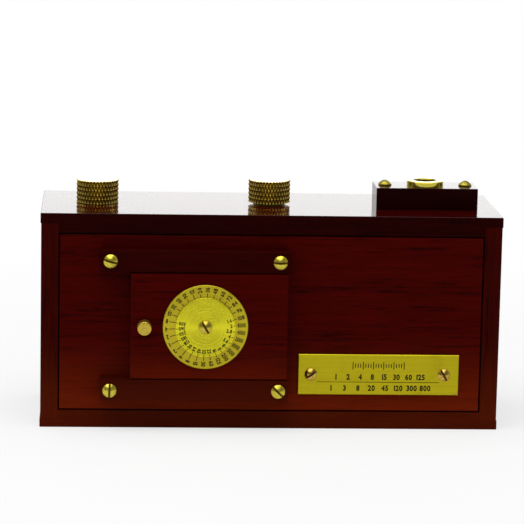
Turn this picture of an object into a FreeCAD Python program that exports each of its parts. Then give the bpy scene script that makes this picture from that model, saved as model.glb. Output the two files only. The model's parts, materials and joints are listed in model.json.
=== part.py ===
import FreeCAD, Part
import math
import os

# Wooden pinhole camera for 120 roll film, 6 x 9 frames.
# Millimetres. +X is to the camera's right seen from the front, +Y is the back, +Z is up.
# The origin is the centre of the underside of the casing. The lens face looks towards -Y.

Vector = FreeCAD.Vector

# Film and spools: the stock sizes that set the size of the casing
SPOOL_LENGTH = 65.6
SPOOL_FLANGE_DIAMETER = 25.1
SPOOL_FLANGE_THICK = 1.2
SPOOL_CORE_DIAMETER = 12.4
SPOOL_BORE_DIAMETER = 6.1
SPOOL_BORE_DEPTH = 12.0
SPOOL_KEY_LENGTH = 10.6
SPOOL_KEY_WIDTH = 2.3
SPOOL_KEY_DEPTH = 5.0
PAPER_SLOT_LENGTH = 38.0
PAPER_SLOT_WIDTH = 1.8
FILM_SIDE_GAP = 1.0
FILM_MARGIN = 2.6
GATE_WIDTH = 84.0
FOCAL_LENGTH = 44.2

# Clearances
GLUE_GAP = 0.05
RUN_GAP = 0.05
FACE_GAP = 0.05
SCREW_GAP = 0.03
FILM_GAP = 0.35
SPOOL_SIDE_GAP = 1.45
SPOOL_HEADROOM = 0.4
ROLL_GAP = 5.35

# Casing boards
TOP_THICK = 7.2
BOTTOM_THICK = 6.5
SIDE_THICK = 6.35
TOP_LIP = 3.7
BOTTOM_LIP = 3.35
END_OVERHANG = 0.25
EDGE_ROUND = 0.35
PARTITION_THICK = 4.5
FILM_GUIDE_ROUND = 2.0
GATE_STRIP_THICK = 3.0
BATTEN_WIDTH = 4.0
BATTEN_DEPTH = 6.0

# Front panel and its shadow line
PANEL_THICK = 6.0
QUIRK_WIDTH = 0.5
QUIRK_DEPTH = 1.5

# Back panel
BACK_THICK = 6.0
BACK_REBATE = 2.0
BACK_GAP = 0.1
PRESSURE_THICK = 3.65
SCOOP_RADIUS = 9.0
SCOOP_REACH = 5.0
SCOOP_DEPTH = 2.0

# Pinhole and light port
PINHOLE_DIAMETER = 0.28
PORT_WEB = 1.5
PORT_FRONT_DIAMETER = 9.0
PORT_REAR_DIAMETER = 6.0
PLATE_DISC_DIAMETER = 22.0
PLATE_DISC_THICK = 0.3
RETAINER_BORE = 14.0
RETAINER_THICK = 2.0

# Sliding shutter
SHUTTER_WIDTH = 57.5
SHUTTER_HEIGHT = 39.4
SHUTTER_COVER = 5.7
SHUTTER_TRAVEL = 11.0
SHUTTER_SIDE_GAP = 0.35
SHUTTER_REAR_GAP = 0.1
TONGUE_THICK = 2.6
TONGUE_REACH = 2.35
TONGUE_GAP = 0.25
RAIL_HEIGHT = 8.0
RAIL_THICK = 7.2
RAIL_RIGHT_PAST = 0.5
RAIL_LEFT_PAST = 0.1
RAIL_END_WALL = 1.5
RAIL_SCREW_INSET = 3.6
SHUTTER_BEHIND_RAIL = 0.2
SHUTTER_CHAMFER = 0.4
PULL_PIN_DIAMETER = 5.1
PULL_PIN_PROUD = 4.8
PULL_PIN_INSET = 5.0
PULL_PIN_SHANK_DIAMETER = 3.0
PULL_PIN_SHANK_LENGTH = 5.0

# Exposure dial on the shutter
DIAL_OFFSET = -1.45
DIAL_RING_DIAMETER = 31.2
DIAL_RING_THICK = 0.8
DIAL_DISC_DIAMETER = 22.0
DIAL_DISC_THICK = 0.7
DIAL_CHAMFER = 0.15

# Plate on the front panel
LABEL_WIDTH = 59.7
LABEL_HEIGHT = 15.2
LABEL_THICK = 0.8
LABEL_OFF_CENTRE = 2.15
LABEL_BOTTOM = 13.2
LABEL_SCREW_INSETS = (4.7, 5.5)
LABEL_CHAMFER = 0.2

# Knobs
KNOB_DIAMETER = 15.8
WINDER_KNOB_HEIGHT = 8.6
LOCK_KNOB_HEIGHT = 8.5
KNOB_CHAMFER = 0.5
KNOB_SOCKET_DEPTH = 6.0
WINDER_KNOB_GAP = 0.1

# Winding shaft, its key and its bush
WINDER_DIAMETER = 6.0
WINDER_KEY_LENGTH = 9.6
WINDER_KEY_WIDTH = 2.0
WINDER_KEY_HEIGHT = 3.0
WINDER_REACH = 4.2
WINDER_WELL_DEPTH = 4.6
WINDER_BUSH_FLANGE_DIAMETER = 11.0
WINDER_BUSH_FLANGE_THICK = 1.2
WINDER_BUSH_DIAMETER = 9.0

# Pins that hold the spools from below
PIN_COLLAR_DIAMETER = 10.0
PIN_COLLAR_THICK = 0.3
PIN_DIAMETER = 5.9
PIN_HEIGHT = 4.2
PIN_DOME = 1.2
PIN_SHANK_DIAMETER = 4.0
PIN_SHANK_LENGTH = 4.0

# Sprung plunger that holds the film roll from above
PLUNGER_DIAMETER = 5.6
PLUNGER_PROUD = 2.2
PLUNGER_DOME = 1.2
PLUNGER_FLANGE_DIAMETER = 7.8
PLUNGER_FLANGE_THICK = 1.0
PLUNGER_BORE_DIAMETER = 8.0
PLUNGER_BORE_DEPTH = 4.7
PLUNGER_RETAINER_DIAMETER = 12.0
PLUNGER_RETAINER_THICK = 0.8
SPRING_STRIP_WIDTH = 0.6
SPRING_STRIP_THICK = 0.45
SPRING_DIAMETER = 6.0
SPRING_TURNS = 3.5

# Lock of the back
LOCK_DIAMETER = 5.0
LOCK_WASHER_DIAMETER = 12.0
LOCK_WASHER_THICK = 0.8
LOCK_TRAVEL = 2.0
LOCK_NUT_DEPTH = 12.0
LOCK_NUT_THICK = 4.0
LOCK_STUD_TAIL = 1.2
CLIP_DIAMETER = 8.6
CLIP_THICK = 0.6
CLIP_GROOVE_DEPTH = 0.3
CLIP_WELL_DEPTH = 1.2
BRACKET_WIDTH = 14.0
BRACKET_THICK = 2.0
BRACKET_LEG_THICK = 1.5
BRACKET_LEG_DROP = 13.8
BRACKET_NOSE = 8.0
BRACKET_SLOT_WIDTH = 5.5
BRACKET_SCREW_SPREAD = 7.2
BRACKET_SCREW_RISE = 3.6
GUIDE_WIDTH = 5.0
GUIDE_LENGTH = 18.0

# Film counter window in the back
WINDOW_DROP = 20.0
WINDOW_SIGHT_DIAMETER = 9.0
WINDOW_DISC_DIAMETER = 13.0
WINDOW_DISC_THICK = 1.5
COVER_DIAMETER = 15.0
COVER_PIVOT_DIAMETER = 9.0
COVER_THICK = 1.0
COVER_ARM = 14.0

# Threaded block on the top board
BLOCK_WIDTH = 38.0
BLOCK_DEPTH = 17.4
BLOCK_HEIGHT = 8.2
BLOCK_END_INSET = 7.6
BLOCK_CENTRE_Y = -2.9
BLOCK_SCREW_SPREAD = 30.2
BLOCK_ROUND = 0.3
SOCKET_BORE_DIAMETER = 7.94
SOCKET_RING_DIAMETER = 13.8
SOCKET_RING_HEIGHT = 2.0
SOCKET_BARREL_DIAMETER = 12.0
SOCKET_BARREL_LENGTH = 7.7
SOCKET_CHAMFER = 0.3

# Round-headed slotted screws: head diameter, head height, shank diameter, shank length
RAIL_SCREW = (5.1, 1.8, 2.6, 11.6)
LABEL_SCREW = (4.6, 1.6, 2.2, 5.2)
DIAL_SCREW = (4.9, 1.6, 2.8, 6.0)
BLOCK_SCREW = (5.0, 1.9, 2.6, 13.0)
COVER_SCREW = (5.0, 1.5, 2.6, 5.2)
SLOT_WIDTH = 0.7
SLOT_DEPTH = 0.9
FLAT_SCREW = (4.0, 1.2, 2.2, 4.2)

# Turn of each screw slot from level, in degrees
RAIL_SLOTS = {"upper_left": -15.0, "upper_right": 0.0, "lower_left": 88.0, "lower_right": -45.0}
LABEL_SLOTS = (35.0, -60.0)
DIAL_SLOT = -60.0
BLOCK_SLOTS = (8.0, -35.0)
COVER_SLOT = 20.0

# Worked out from the sizes above
FILM_WIDTH = SPOOL_LENGTH - 2 * SPOOL_FLANGE_THICK - 2 * FILM_SIDE_GAP
GATE_HEIGHT = FILM_WIDTH - 2 * FILM_MARGIN
INNER_HEIGHT = PIN_COLLAR_THICK + SPOOL_LENGTH + SPOOL_HEADROOM
CASE_HEIGHT = BOTTOM_THICK + INNER_HEIGHT + TOP_THICK
CASE_DEPTH = PORT_WEB + PLATE_DISC_THICK + FOCAL_LENGTH + FILM_GAP + PRESSURE_THICK + BACK_THICK
FLOOR_Z = BOTTOM_THICK
ROOF_Z = CASE_HEIGHT - TOP_THICK
AXIS_Z = (FLOOR_Z + ROOF_Z) / 2
FRONT_Y = -CASE_DEPTH / 2
REAR_Y = CASE_DEPTH / 2
PANEL_BACK_Y = FRONT_Y + PANEL_THICK
BACK_SEAT_Y = REAR_Y - BACK_THICK
FILM_Y = FRONT_Y + PORT_WEB + PLATE_DISC_THICK + FOCAL_LENGTH
PARTITION_X = GATE_WIDTH / 2 + PARTITION_THICK
SPOOL_X = PARTITION_X + ROLL_GAP + SPOOL_FLANGE_DIAMETER / 2
INNER_X = SPOOL_X + SPOOL_FLANGE_DIAMETER / 2 + SPOOL_SIDE_GAP
SIDE_X = INNER_X + SIDE_THICK
BOARD_X = SIDE_X + END_OVERHANG
RAIL_INNER = SHUTTER_HEIGHT / 2 + SHUTTER_SIDE_GAP
RAIL_FRONT_Y = FRONT_Y - RAIL_THICK
RAIL_RIGHT_X = SHUTTER_COVER + RAIL_RIGHT_PAST
SHUTTER_LEFT_X = SHUTTER_COVER - SHUTTER_WIDTH
RAIL_LEFT_X = SHUTTER_LEFT_X - SHUTTER_TRAVEL - RAIL_LEFT_PAST
SHUTTER_FRONT_Y = RAIL_FRONT_Y + SHUTTER_BEHIND_RAIL
SHUTTER_REAR_Y = FRONT_Y - SHUTTER_REAR_GAP
DIAL_X = SHUTTER_LEFT_X + SHUTTER_WIDTH / 2 + DIAL_OFFSET
SPOOL_FOOT_Z = FLOOR_Z + PIN_COLLAR_THICK
SPOOL_TOP_Z = SPOOL_FOOT_Z + SPOOL_LENGTH
BRACKET_TOP_Z = ROOF_Z - FACE_GAP
BRACKET_FOOT_Z = BRACKET_TOP_Z - BRACKET_THICK
NUT_TOP_Z = BRACKET_FOOT_Z - FACE_GAP
NUT_LOW_Z = NUT_TOP_Z - LOCK_NUT_THICK - LOCK_TRAVEL
LABEL_LEFT_X = (RAIL_RIGHT_X + INNER_X - LABEL_WIDTH) / 2 - LABEL_OFF_CENTRE
LABEL_CENTRE_Z = LABEL_BOTTOM + LABEL_HEIGHT / 2
BLOCK_CENTRE_X = BOARD_X - BLOCK_END_INSET - BLOCK_WIDTH / 2
WINDOW_Z = AXIS_Z - WINDOW_DROP
OVER = 1.0


# Building helpers

def block(x, y, z):
    """Box between the low and high values of each axis."""
    size = (x[1] - x[0], y[1] - y[0], z[1] - z[0])
    return Part.makeBox(size[0], size[1], size[2], Vector(x[0], y[0], z[0]))


def upright(diameter, z, x=0.0, y=0.0):
    """Vertical cylinder between two heights."""
    return Part.makeCylinder(diameter / 2, z[1] - z[0], Vector(x, y, z[0]))


def level(diameter, y, x=0.0, z=0.0):
    """Cylinder along Y between two depths."""
    return Part.makeCylinder(diameter / 2, y[1] - y[0], Vector(x, y[0], z), Vector(0, 1, 0))


def turned(outline):
    """Solid turned about Z from a closed outline of (radius, height) points."""
    points = [Vector(radius, 0, height) for radius, height in outline]
    wire = Part.makePolygon(points + points[:1])
    return Part.Face(wire).revolve(Vector(0, 0, 0), Vector(0, 0, 1), 360)


def joined(shapes):
    """One solid from shapes that touch or overlap."""
    result = shapes[0]
    for shape in shapes[1:]:
        result = result.fuse(shape)
    return result.removeSplitter()


def without(shape, tools):
    """Shape with each tool cut away."""
    for tool in tools:
        shape = shape.cut(tool)
    return shape


def eased(shape, radius, chosen):
    """Shape with the chosen edges rounded."""
    return shape.makeFillet(radius, [edge for edge in shape.Edges if chosen(edge.BoundBox)])


def chamfered(shape, size, chosen):
    """Shape with the chosen edges cut back at 45 degrees."""
    return shape.makeChamfer(size, [edge for edge in shape.Edges if chosen(edge.BoundBox)])


def near(first, second):
    """True where two lengths are the same."""
    return abs(first - second) < 1e-4


def dome(radius, base, height, direction=1):
    """Spherical cap on Z, standing up from base or hanging from it."""
    ball = (radius ** 2 + height ** 2) / (2 * height)
    centre = Vector(0, 0, base - direction * (ball - height))
    sphere = Part.makeSphere(ball, centre)
    reach = (base, base + direction * height)
    slab = block((-radius, radius), (-radius, radius), (min(reach), max(reach)))
    return sphere.common(slab)


def round_screw(sizes, slot_turn):
    """Round-headed slotted screw on Z: the head sits on height 0, the shank hangs below."""
    head_diameter, head_height, shank_diameter, shank_length = sizes
    rim = head_height / 4
    head = upright(head_diameter, (0, rim)).fuse(dome(head_diameter / 2, rim, head_height - rim))
    slot = block((-head_diameter, head_diameter), (-SLOT_WIDTH / 2, SLOT_WIDTH / 2),
                 (head_height - SLOT_DEPTH, head_height + OVER))
    slot.rotate(Vector(0, 0, 0), Vector(0, 0, 1), slot_turn)
    shank = upright(shank_diameter, (-shank_length, 0))
    return joined([head.cut(slot), shank])


def facing_front(shape, x, y, z):
    """Shape made on Z, turned so that its head looks towards -Y, at a place."""
    shape.rotate(Vector(0, 0, 0), Vector(1, 0, 0), 90)
    shape.translate(Vector(x, y, z))
    return shape


def facing_back(shape, x, y, z):
    """Shape made on Z, turned so that its head looks towards +Y, at a place."""
    shape.rotate(Vector(0, 0, 0), Vector(1, 0, 0), -90)
    shape.translate(Vector(x, y, z))
    return shape


def moved(shape, x, y, z):
    """Shape at a place."""
    shape.translate(Vector(x, y, z))
    return shape


def group(shapes):
    """Separate solids that share one node."""
    return Part.makeCompound(shapes)


# Casing

def back_opening():
    """Space that the back panel drops into, with its clearance."""
    return block((-INNER_X - BACK_REBATE, INNER_X + BACK_REBATE), (BACK_SEAT_Y, REAR_Y + OVER),
                 (FLOOR_Z - BACK_REBATE, ROOF_Z + BACK_REBATE))


def top_board():
    """Top board: a lip over the side boards, and wells for the winder, the lock and the plunger."""
    lip = block((-BOARD_X, BOARD_X), (FRONT_Y, REAR_Y), (CASE_HEIGHT - TOP_LIP, CASE_HEIGHT))
    lip = eased(lip, EDGE_ROUND, lambda box: near(box.ZMin, CASE_HEIGHT) or box.ZLength > TOP_LIP / 2)
    body = block((-INNER_X, INNER_X), (FRONT_Y, REAR_Y), (ROOF_Z, CASE_HEIGHT - TOP_LIP))
    through = (ROOF_Z - OVER, CASE_HEIGHT + OVER)
    winder_well = (ROOF_Z - OVER, ROOF_Z + WINDER_WELL_DEPTH)
    clip_well = (ROOF_Z - OVER, ROOF_Z + CLIP_WELL_DEPTH)
    retainer_well = (ROOF_Z - OVER, ROOF_Z + PLUNGER_RETAINER_THICK)
    plunger_well = (ROOF_Z, ROOF_Z + PLUNGER_RETAINER_THICK + PLUNGER_BORE_DEPTH)
    tools = [
        back_opening(),
        upright(WINDER_BUSH_DIAMETER + 2 * GLUE_GAP, through, -SPOOL_X),
        upright(WINDER_BUSH_FLANGE_DIAMETER + 2 * GLUE_GAP, winder_well, -SPOOL_X),
        upright(LOCK_DIAMETER + 4 * RUN_GAP, through),
        upright(CLIP_DIAMETER + 8 * RUN_GAP, clip_well),
        upright(PLUNGER_RETAINER_DIAMETER + 2 * GLUE_GAP, retainer_well, SPOOL_X),
        upright(PLUNGER_BORE_DIAMETER, plunger_well, SPOOL_X),
    ]
    for x in block_screw_places():
        depth = BLOCK_SCREW[3] - BLOCK_HEIGHT + GLUE_GAP
        tools.append(upright(BLOCK_SCREW[2] + 2 * SCREW_GAP, (CASE_HEIGHT - depth, CASE_HEIGHT + OVER),
                             x, BLOCK_CENTRE_Y))
    return without(joined([lip, body]), tools)


def bottom_board():
    """Bottom board: a lip under the side boards, and holes for the two spool pins."""
    lip = block((-BOARD_X, BOARD_X), (FRONT_Y, REAR_Y), (0, BOTTOM_LIP))
    lip = eased(lip, EDGE_ROUND, lambda box: near(box.ZMax, 0) or box.ZLength > BOTTOM_LIP / 2)
    body = block((-INNER_X, INNER_X), (FRONT_Y, REAR_Y), (BOTTOM_LIP, FLOOR_Z))
    hole = (FLOOR_Z - PIN_SHANK_LENGTH - GLUE_GAP, FLOOR_Z + OVER)
    tools = [back_opening()]
    tools += [upright(PIN_SHANK_DIAMETER + 2 * SCREW_GAP, hole, x) for x in (-SPOOL_X, SPOOL_X)]
    return without(joined([lip, body]), tools)


def side_board(side):
    """Side board between the lips of the top and bottom boards; side is -1 for left, 1 for right."""
    edges = sorted((side * INNER_X, side * SIDE_X))
    board = block(edges, (FRONT_Y, REAR_Y), (BOTTOM_LIP, CASE_HEIGHT - TOP_LIP))
    outer = side * SIDE_X
    board = eased(board, EDGE_ROUND, lambda box: box.ZLength > SIDE_THICK and near(box.XMin, outer))
    return board.cut(back_opening())


def front_panel():
    """Front panel set flush in the casing, with a shadow line round it and the light port."""
    half = INNER_X - GLUE_GAP
    z = (FLOOR_Z + GLUE_GAP, ROOF_Z - GLUE_GAP)
    body = block((-half, half), (FRONT_Y + QUIRK_DEPTH, PANEL_BACK_Y), z)
    face = block((-half + QUIRK_WIDTH, half - QUIRK_WIDTH), (FRONT_Y, FRONT_Y + QUIRK_DEPTH),
                 (z[0] + QUIRK_WIDTH, z[1] - QUIRK_WIDTH))
    face = eased(face, EDGE_ROUND, lambda box: near(box.YMax, FRONT_Y))
    well = level(PLATE_DISC_DIAMETER + 2 * GLUE_GAP, (FRONT_Y + PORT_WEB, PANEL_BACK_Y + OVER), 0, AXIS_Z)
    port = Part.makeCone(PORT_FRONT_DIAMETER / 2, PORT_REAR_DIAMETER / 2, PORT_WEB,
                         Vector(0, FRONT_Y, AXIS_Z), Vector(0, 1, 0))
    tools = [well, port]
    for x, z_screw in rail_screw_places().values():
        depth = RAIL_SCREW[3] - RAIL_THICK + GLUE_GAP
        tools.append(level(RAIL_SCREW[2] + 2 * SCREW_GAP, (FRONT_Y - OVER, FRONT_Y + depth), x, z_screw))
    for x in label_screw_places():
        depth = LABEL_SCREW[3] - LABEL_THICK + GLUE_GAP
        tools.append(level(LABEL_SCREW[2] + 2 * SCREW_GAP, (FRONT_Y - OVER, FRONT_Y + depth),
                           x, LABEL_CENTRE_Z))
    return without(joined([body, face]), tools)


def partition(side):
    """Wall between the exposure chamber and a spool chamber; its rear edge guides the film."""
    edges = sorted((side * GATE_WIDTH / 2, side * PARTITION_X))
    wall = block(edges, (PANEL_BACK_Y, FILM_Y), (FLOOR_Z, ROOF_Z))
    return eased(wall, FILM_GUIDE_ROUND, lambda box: box.ZLength > PARTITION_THICK and near(box.YMin, FILM_Y))


def gate_strip(upper):
    """Strip that closes the film gate above or below; the upper one is notched for the bracket."""
    half = GATE_WIDTH / 2
    y = (FILM_Y - GATE_STRIP_THICK, FILM_Y)
    if not upper:
        return block((-half, half), y, (FLOOR_Z, AXIS_Z - GATE_HEIGHT / 2))
    strip = block((-half, half), y, (AXIS_Z + GATE_HEIGHT / 2, ROOF_Z))
    room = BRACKET_WIDTH / 2 + 2 * BACK_GAP
    notch = block((-room, room), (y[0] - OVER, y[1] + OVER), (BRACKET_FOOT_Z - 2 * BACK_GAP, ROOF_Z + OVER))
    return strip.cut(notch)


def batten(side):
    """Upright batten that the front panel is glued to at one end of the casing."""
    edges = sorted((side * (INNER_X - BATTEN_WIDTH), side * INNER_X))
    return block(edges, (PANEL_BACK_Y, PANEL_BACK_Y + BATTEN_DEPTH), (FLOOR_Z, ROOF_Z))


# Pinhole

def pinhole_plate():
    """Thin brass disc with the pinhole, against the web of the front panel."""
    y = (FRONT_Y + PORT_WEB, FRONT_Y + PORT_WEB + PLATE_DISC_THICK)
    disc = level(PLATE_DISC_DIAMETER, y, 0, AXIS_Z)
    return disc.cut(level(PINHOLE_DIAMETER, (y[0] - OVER, y[1] + OVER), 0, AXIS_Z))


def pinhole_retainer():
    """Ring pressed in behind the pinhole plate."""
    start = FRONT_Y + PORT_WEB + PLATE_DISC_THICK
    y = (start, start + RETAINER_THICK)
    ring = level(PLATE_DISC_DIAMETER, y, 0, AXIS_Z)
    return ring.cut(level(RETAINER_BORE, (y[0] - OVER, y[1] + OVER), 0, AXIS_Z))


# Sliding shutter

def rail_screw_places():
    """Centre of each rail screw as (x, z)."""
    left = RAIL_LEFT_X + RAIL_SCREW_INSET
    right = RAIL_RIGHT_X - RAIL_SCREW_INSET
    rise = RAIL_INNER + RAIL_HEIGHT / 2
    return {"upper_left": (left, AXIS_Z + rise), "upper_right": (right, AXIS_Z + rise),
            "lower_left": (left, AXIS_Z - rise), "lower_right": (right, AXIS_Z - rise)}


def rail(upward):
    """Rail with a blind groove for the shutter tongue; upward is 1 above the shutter, -1 below."""
    inner = AXIS_Z + upward * RAIL_INNER
    outer = AXIS_Z + upward * (RAIL_INNER + RAIL_HEIGHT)
    bar = block((RAIL_LEFT_X, RAIL_RIGHT_X), (RAIL_FRONT_Y, FRONT_Y), sorted((inner, outer)))
    bar = eased(bar, EDGE_ROUND, lambda box: box.YMin < FRONT_Y - 2 * EDGE_ROUND)
    deep = AXIS_Z + upward * (RAIL_INNER + TONGUE_REACH - SHUTTER_SIDE_GAP + TONGUE_GAP)
    shallow = AXIS_Z + upward * (RAIL_INNER - OVER)
    groove_front = SHUTTER_REAR_Y - TONGUE_THICK - SHUTTER_REAR_GAP
    groove = block((RAIL_LEFT_X + RAIL_END_WALL, RAIL_RIGHT_X - RAIL_END_WALL),
                   (groove_front, FRONT_Y + OVER), sorted((deep, shallow)))
    holes = [level(RAIL_SCREW[2] + 2 * SCREW_GAP, (RAIL_FRONT_Y - OVER, FRONT_Y + OVER), x, z)
             for x, z in rail_screw_places().values() if (z - AXIS_Z) * upward > 0]
    return without(bar, [groove] + holes)


def rail_screws():
    """Four round-headed screws that hold the rails on the front panel."""
    return group([facing_front(round_screw(RAIL_SCREW, RAIL_SLOTS[name]), x, RAIL_FRONT_Y, z)
                  for name, (x, z) in rail_screw_places().items()])


def shutter_plate():
    """Sliding plate in front of the pinhole, with a tongue along its upper and lower edge."""
    half = SHUTTER_HEIGHT / 2
    plate = block((SHUTTER_LEFT_X, SHUTTER_COVER), (SHUTTER_FRONT_Y, SHUTTER_REAR_Y),
                  (AXIS_Z - half, AXIS_Z + half))
    plate = chamfered(plate, SHUTTER_CHAMFER, lambda box: near(box.YMax, SHUTTER_FRONT_Y))
    left = RAIL_LEFT_X + RAIL_END_WALL + FACE_GAP + SHUTTER_TRAVEL
    right = RAIL_RIGHT_X - RAIL_END_WALL - FACE_GAP
    reach = half + TONGUE_REACH
    tongue = block((left, right), (SHUTTER_REAR_Y - TONGUE_THICK, SHUTTER_REAR_Y),
                   (AXIS_Z - reach, AXIS_Z + reach))
    dial_depth = DIAL_SCREW[3] - DIAL_RING_THICK - DIAL_DISC_THICK + GLUE_GAP
    dial_hole = level(DIAL_SCREW[2] + 2 * SCREW_GAP, (SHUTTER_FRONT_Y - OVER, SHUTTER_FRONT_Y + dial_depth),
                      DIAL_X, AXIS_Z)
    pin_hole = level(PULL_PIN_SHANK_DIAMETER + 2 * SCREW_GAP,
                     (SHUTTER_FRONT_Y - OVER, SHUTTER_FRONT_Y + PULL_PIN_SHANK_LENGTH + GLUE_GAP),
                     SHUTTER_LEFT_X + PULL_PIN_INSET, AXIS_Z)
    return without(joined([plate, tongue]), [dial_hole, pin_hole])


def shutter_pin():
    """Brass pin that a finger pushes to slide the shutter."""
    head = upright(PULL_PIN_DIAMETER, (0, PULL_PIN_PROUD))
    head = eased(head, EDGE_ROUND, lambda box: near(box.ZMin, PULL_PIN_PROUD))
    shank = upright(PULL_PIN_SHANK_DIAMETER, (-PULL_PIN_SHANK_LENGTH, 0))
    return facing_front(joined([head, shank]), SHUTTER_LEFT_X + PULL_PIN_INSET, SHUTTER_FRONT_Y, AXIS_Z)


def dial_plate(diameter, thick, behind):
    """Round dial plate with a hole for the dial screw; behind is the thickness under it."""
    plate = turned([(DIAL_SCREW[2] / 2 + RUN_GAP, 0), (diameter / 2, 0), (diameter / 2, thick - DIAL_CHAMFER),
                    (diameter / 2 - DIAL_CHAMFER, thick), (DIAL_SCREW[2] / 2 + RUN_GAP, thick)])
    return facing_front(plate, DIAL_X, SHUTTER_FRONT_Y - behind, AXIS_Z)


def dial_screw():
    """Screw at the centre of the dial."""
    stack = DIAL_RING_THICK + DIAL_DISC_THICK
    return facing_front(round_screw(DIAL_SCREW, DIAL_SLOT), DIAL_X, SHUTTER_FRONT_Y - stack, AXIS_Z)


# Plate on the front panel

def label_screw_places():
    """The x of the left and right screw of the plate."""
    return (LABEL_LEFT_X + LABEL_SCREW_INSETS[0], LABEL_LEFT_X + LABEL_WIDTH - LABEL_SCREW_INSETS[1])


def label_plate():
    """Thin brass plate on the front panel."""
    plate = block((LABEL_LEFT_X, LABEL_LEFT_X + LABEL_WIDTH), (FRONT_Y - LABEL_THICK, FRONT_Y),
                  (LABEL_BOTTOM, LABEL_BOTTOM + LABEL_HEIGHT))
    plate = chamfered(plate, LABEL_CHAMFER, lambda box: near(box.YMax, FRONT_Y - LABEL_THICK))
    holes = [level(LABEL_SCREW[2] + 2 * SCREW_GAP, (FRONT_Y - LABEL_THICK - OVER, FRONT_Y + OVER),
                   x, LABEL_CENTRE_Z) for x in label_screw_places()]
    return without(plate, holes)


def label_screws():
    """Two round-headed screws through the plate."""
    return group([facing_front(round_screw(LABEL_SCREW, turn), x, FRONT_Y - LABEL_THICK, LABEL_CENTRE_Z)
                  for x, turn in zip(label_screw_places(), LABEL_SLOTS)])


# Winder and take-up spool

def knob(height, shaft_diameter, foot):
    """Round brass knob standing on height foot, with a blind hole for its shaft."""
    radius = KNOB_DIAMETER / 2
    hole = shaft_diameter / 2 + SCREW_GAP
    return turned([(hole, foot), (radius - KNOB_CHAMFER, foot), (radius, foot + KNOB_CHAMFER),
                   (radius, foot + height - KNOB_CHAMFER), (radius - KNOB_CHAMFER, foot + height),
                   (0, foot + height), (0, foot + KNOB_SOCKET_DEPTH), (hole, foot + KNOB_SOCKET_DEPTH)])


def winding_knob():
    """Knob that turns the take-up spool."""
    return moved(knob(WINDER_KNOB_HEIGHT, WINDER_DIAMETER, CASE_HEIGHT + WINDER_KNOB_GAP), -SPOOL_X, 0, 0)


def winding_shaft():
    """Shaft with a cross key that enters the end of the take-up spool."""
    foot = SPOOL_TOP_Z - WINDER_REACH
    head = CASE_HEIGHT + WINDER_KNOB_GAP + KNOB_SOCKET_DEPTH
    half_length = WINDER_KEY_LENGTH / 2
    half_width = WINDER_KEY_WIDTH / 2
    key = block((-half_length, half_length), (-half_width, half_width), (foot, foot + WINDER_KEY_HEIGHT))
    return moved(joined([upright(WINDER_DIAMETER, (foot, head)), key]), -SPOOL_X, 0, 0)


def winder_bush():
    """Flanged bush in the top board that the winding shaft turns and slides in."""
    seat = ROOF_Z + WINDER_WELL_DEPTH
    bore = WINDER_DIAMETER / 2 + RUN_GAP
    bush = turned([(bore, seat - WINDER_BUSH_FLANGE_THICK),
                   (WINDER_BUSH_FLANGE_DIAMETER / 2, seat - WINDER_BUSH_FLANGE_THICK),
                   (WINDER_BUSH_FLANGE_DIAMETER / 2, seat), (WINDER_BUSH_DIAMETER / 2, seat),
                   (WINDER_BUSH_DIAMETER / 2, CASE_HEIGHT), (bore, CASE_HEIGHT)])
    return moved(bush, -SPOOL_X, 0, 0)


def takeup_spool():
    """Film spool with flanges, key slots in both ends and a slot for the backing paper."""
    core = SPOOL_CORE_DIAMETER / 2
    flange = SPOOL_FLANGE_DIAMETER / 2
    bore = SPOOL_BORE_DIAMETER / 2
    length = SPOOL_LENGTH
    spool = turned([(bore, 0), (flange, 0), (flange, SPOOL_FLANGE_THICK), (core, SPOOL_FLANGE_THICK),
                    (core, length - SPOOL_FLANGE_THICK), (flange, length - SPOOL_FLANGE_THICK),
                    (flange, length), (bore, length), (bore, length - SPOOL_BORE_DEPTH),
                    (0, length - SPOOL_BORE_DEPTH), (0, SPOOL_BORE_DEPTH), (bore, SPOOL_BORE_DEPTH)])
    key_x = (-SPOOL_KEY_LENGTH / 2, SPOOL_KEY_LENGTH / 2)
    key_y = (-SPOOL_KEY_WIDTH / 2, SPOOL_KEY_WIDTH / 2)
    middle = length / 2
    slots = [block(key_x, key_y, (-OVER, SPOOL_KEY_DEPTH)),
             block(key_x, key_y, (length - SPOOL_KEY_DEPTH, length + OVER)),
             block((-flange, flange), (-PAPER_SLOT_WIDTH / 2, PAPER_SLOT_WIDTH / 2),
                   (middle - PAPER_SLOT_LENGTH / 2, middle + PAPER_SLOT_LENGTH / 2))]
    return moved(without(spool, slots), -SPOOL_X, 0, SPOOL_FOOT_Z)


def spool_pin(x):
    """Domed pin with a collar, set in the bottom board under a spool."""
    body = turned([(0, -PIN_SHANK_LENGTH), (PIN_SHANK_DIAMETER / 2, -PIN_SHANK_LENGTH),
                   (PIN_SHANK_DIAMETER / 2, 0), (PIN_COLLAR_DIAMETER / 2, 0),
                   (PIN_COLLAR_DIAMETER / 2, PIN_COLLAR_THICK), (PIN_DIAMETER / 2, PIN_COLLAR_THICK),
                   (PIN_DIAMETER / 2, PIN_HEIGHT - PIN_DOME), (0, PIN_HEIGHT - PIN_DOME)])
    return moved(joined([body, dome(PIN_DIAMETER / 2, PIN_HEIGHT - PIN_DOME, PIN_DOME)]), x, 0, FLOOR_Z)


# Sprung plunger over the film roll

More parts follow.
